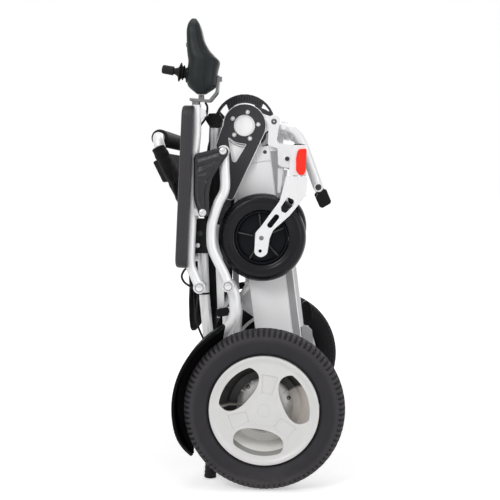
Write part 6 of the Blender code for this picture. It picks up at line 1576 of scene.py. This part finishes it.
class WheelchairColours(bpy.types.PropertyGroup):
    """Colours of the main finishes."""
    silver: colour_property("Tubes", "Satin paint on the tubes", (0.84, 0.84, 0.85))
    rim: colour_property("Rims", "Paint on the drive wheels' castings", (0.70, 0.695, 0.69))
    housing: colour_property("Housings", "Battery housings", (0.94, 0.94, 0.952))
    charcoal: colour_property("Plates", "Moulded plates and skirt guards", (0.031, 0.029, 0.033))
    tyre: colour_property("Tyres", "Rubber of the drive tyres", (0.036, 0.033, 0.037))
    pad: colour_property("Armrests", "Foam of the armrests", (0.033, 0.031, 0.035))
    fabric: colour_property("Fabric", "Cloth of the cushions", (0.0065, 0.0062, 0.0070))
    lens: colour_property("Reflectors", "Red lenses", (0.85, 0.020, 0.006))


# Operators, one for each piece or group of like pieces

def for_both(make, *values):
    """Make the piece for the right side and for the left."""
    for side_name, side in SIDES.items():
        make(side_name, side, *values)


class WHEELCHAIR_OT_drive_tyres(bpy.types.Operator):
    """Two drive tyres with their tread"""
    bl_idname = "wheelchair.drive_tyres"
    bl_label = "Drive tyres"

    def execute(self, context):
        sizes = context.scene.wheelchair_sizes
        for_both(make_drive_tyre, sizes.tread_deep, sizes.tread_lugs)
        return {"FINISHED"}


class WHEELCHAIR_OT_drive_rims(bpy.types.Operator):
    """Two drive rims with hubs and valves"""
    bl_idname = "wheelchair.drive_rims"
    bl_label = "Drive rims"

    def execute(self, context):
        for_both(make_drive_rim)
        return {"FINISHED"}


class WHEELCHAIR_OT_motors(bpy.types.Operator):
    """Two hub motors"""
    bl_idname = "wheelchair.motors"
    bl_label = "Motors"

    def execute(self, context):
        for_both(make_motor)
        return {"FINISHED"}


class WHEELCHAIR_OT_fenders(bpy.types.Operator):
    """Two mudguards"""
    bl_idname = "wheelchair.fenders"
    bl_label = "Mudguards"

    def execute(self, context):
        for_both(make_fender)
        return {"FINISHED"}


class WHEELCHAIR_OT_casters(bpy.types.Operator):
    """Two caster wheels and their forks"""
    bl_idname = "wheelchair.casters"
    bl_label = "Casters"

    def execute(self, context):
        for_both(make_caster)
        for_both(make_fork)
        return {"FINISHED"}


class WHEELCHAIR_OT_legs(bpy.types.Operator):
    """Leg plates with reflectors, footrest tubes and footplate"""
    bl_idname = "wheelchair.legs"
    bl_label = "Legs and footrest"

    def execute(self, context):
        for_both(make_leg)
        make_footrest()
        return {"FINISHED"}


class WHEELCHAIR_OT_chassis(bpy.types.Operator):
    """Chassis tubes, plates and feet"""
    bl_idname = "wheelchair.chassis"
    bl_label = "Chassis"

    def execute(self, context):
        make_chassis()
        return {"FINISHED"}


class WHEELCHAIR_OT_batteries(bpy.types.Operator):
    """Two battery housings"""
    bl_idname = "wheelchair.batteries"
    bl_label = "Battery housings"

    def execute(self, context):
        for_both(make_battery_box)
        return {"FINISHED"}


class WHEELCHAIR_OT_covers(bpy.types.Operator):
    """Ring covers and lifting grips"""
    bl_idname = "wheelchair.covers"
    bl_label = "Ring covers and grips"

    def execute(self, context):
        for side_name, side in SIDES.items():
            make_ring_plate(side_name, side)
            refined("lift_grip_" + side_name, "charcoal", 0.0006)
        return {"FINISHED"}


class WHEELCHAIR_OT_back(bpy.types.Operator):
    """Back tubes, recline blocks and the push bar's foam"""
    bl_idname = "wheelchair.back"
    bl_label = "Back"

    def execute(self, context):
        make_back_frame()
        for_both(make_recline)
        make_push_grip(context.scene.wheelchair_sizes.foam_ridge)
        return {"FINISHED"}


class WHEELCHAIR_OT_cushions(bpy.types.Operator):
    """Back and seat cushions"""
    bl_idname = "wheelchair.cushions"
    bl_label = "Cushions"

    def execute(self, context):
        make_cushions(context.scene.wheelchair_sizes.crease)
        return {"FINISHED"}


class WHEELCHAIR_OT_seat(bpy.types.Operator):
    """Seat rails, cross tubes, latches and links"""
    bl_idname = "wheelchair.seat"
    bl_label = "Seat frame"

    def execute(self, context):
        make_seat_frame()
        return {"FINISHED"}


class WHEELCHAIR_OT_arms(bpy.types.Operator):
    """Armrest tubes, stays, pads and skirt guards"""
    bl_idname = "wheelchair.arms"
    bl_label = "Arms"

    def execute(self, context):
        for_both(make_arm)
        for_both(make_arm_pad)
        for_both(make_side_guard)
        return {"FINISHED"}


class WHEELCHAIR_OT_joystick(bpy.types.Operator):
    """Joystick housing, stick, keys and lead"""
    bl_idname = "wheelchair.joystick"
    bl_label = "Joystick and lead"

    def execute(self, context):
        make_joystick()
        make_lead()
        return {"FINISHED"}


class WHEELCHAIR_OT_stage(bpy.types.Operator):
    """Floor, background, lamps and camera"""
    bl_idname = "wheelchair.stage"
    bl_label = "Stage"

    def execute(self, context):
        make_stage()
        return {"FINISHED"}


OPERATORS = (WHEELCHAIR_OT_stage, WHEELCHAIR_OT_joystick, WHEELCHAIR_OT_drive_tyres,
             WHEELCHAIR_OT_drive_rims, WHEELCHAIR_OT_motors, WHEELCHAIR_OT_fenders, WHEELCHAIR_OT_casters,
             WHEELCHAIR_OT_legs, WHEELCHAIR_OT_chassis, WHEELCHAIR_OT_batteries, WHEELCHAIR_OT_covers,
             WHEELCHAIR_OT_back, WHEELCHAIR_OT_cushions, WHEELCHAIR_OT_seat, WHEELCHAIR_OT_arms)


class WHEELCHAIR_PT_panel(bpy.types.Panel):
    """Sizes, colours and pieces of the wheelchair"""
    bl_idname = "WHEELCHAIR_PT_panel"
    bl_label = "Folding power wheelchair"
    bl_space_type = "VIEW_3D"
    bl_region_type = "UI"
    bl_category = "Wheelchair"

    def draw(self, context):
        for group in (context.scene.wheelchair_sizes, context.scene.wheelchair_colours):
            for key in group.__annotations__:
                self.layout.prop(group, key)
        for operator in OPERATORS:
            self.layout.operator(operator.bl_idname)


CLASSES = (WheelchairSizes, WheelchairColours, *OPERATORS, WHEELCHAIR_PT_panel)


def register():
    for item in CLASSES:
        bpy.utils.register_class(item)
    bpy.types.Scene.wheelchair_sizes = bpy.props.PointerProperty(type=WheelchairSizes)
    bpy.types.Scene.wheelchair_colours = bpy.props.PointerProperty(type=WheelchairColours)


def unregister():
    del bpy.types.Scene.wheelchair_colours
    del bpy.types.Scene.wheelchair_sizes
    for item in reversed(CLASSES):
        bpy.utils.unregister_class(item)


def main():
    register()
    for operator in OPERATORS:
        getattr(bpy.ops.wheelchair, operator.bl_idname.split(".")[1])()


if __name__ == "__main__":
    main()
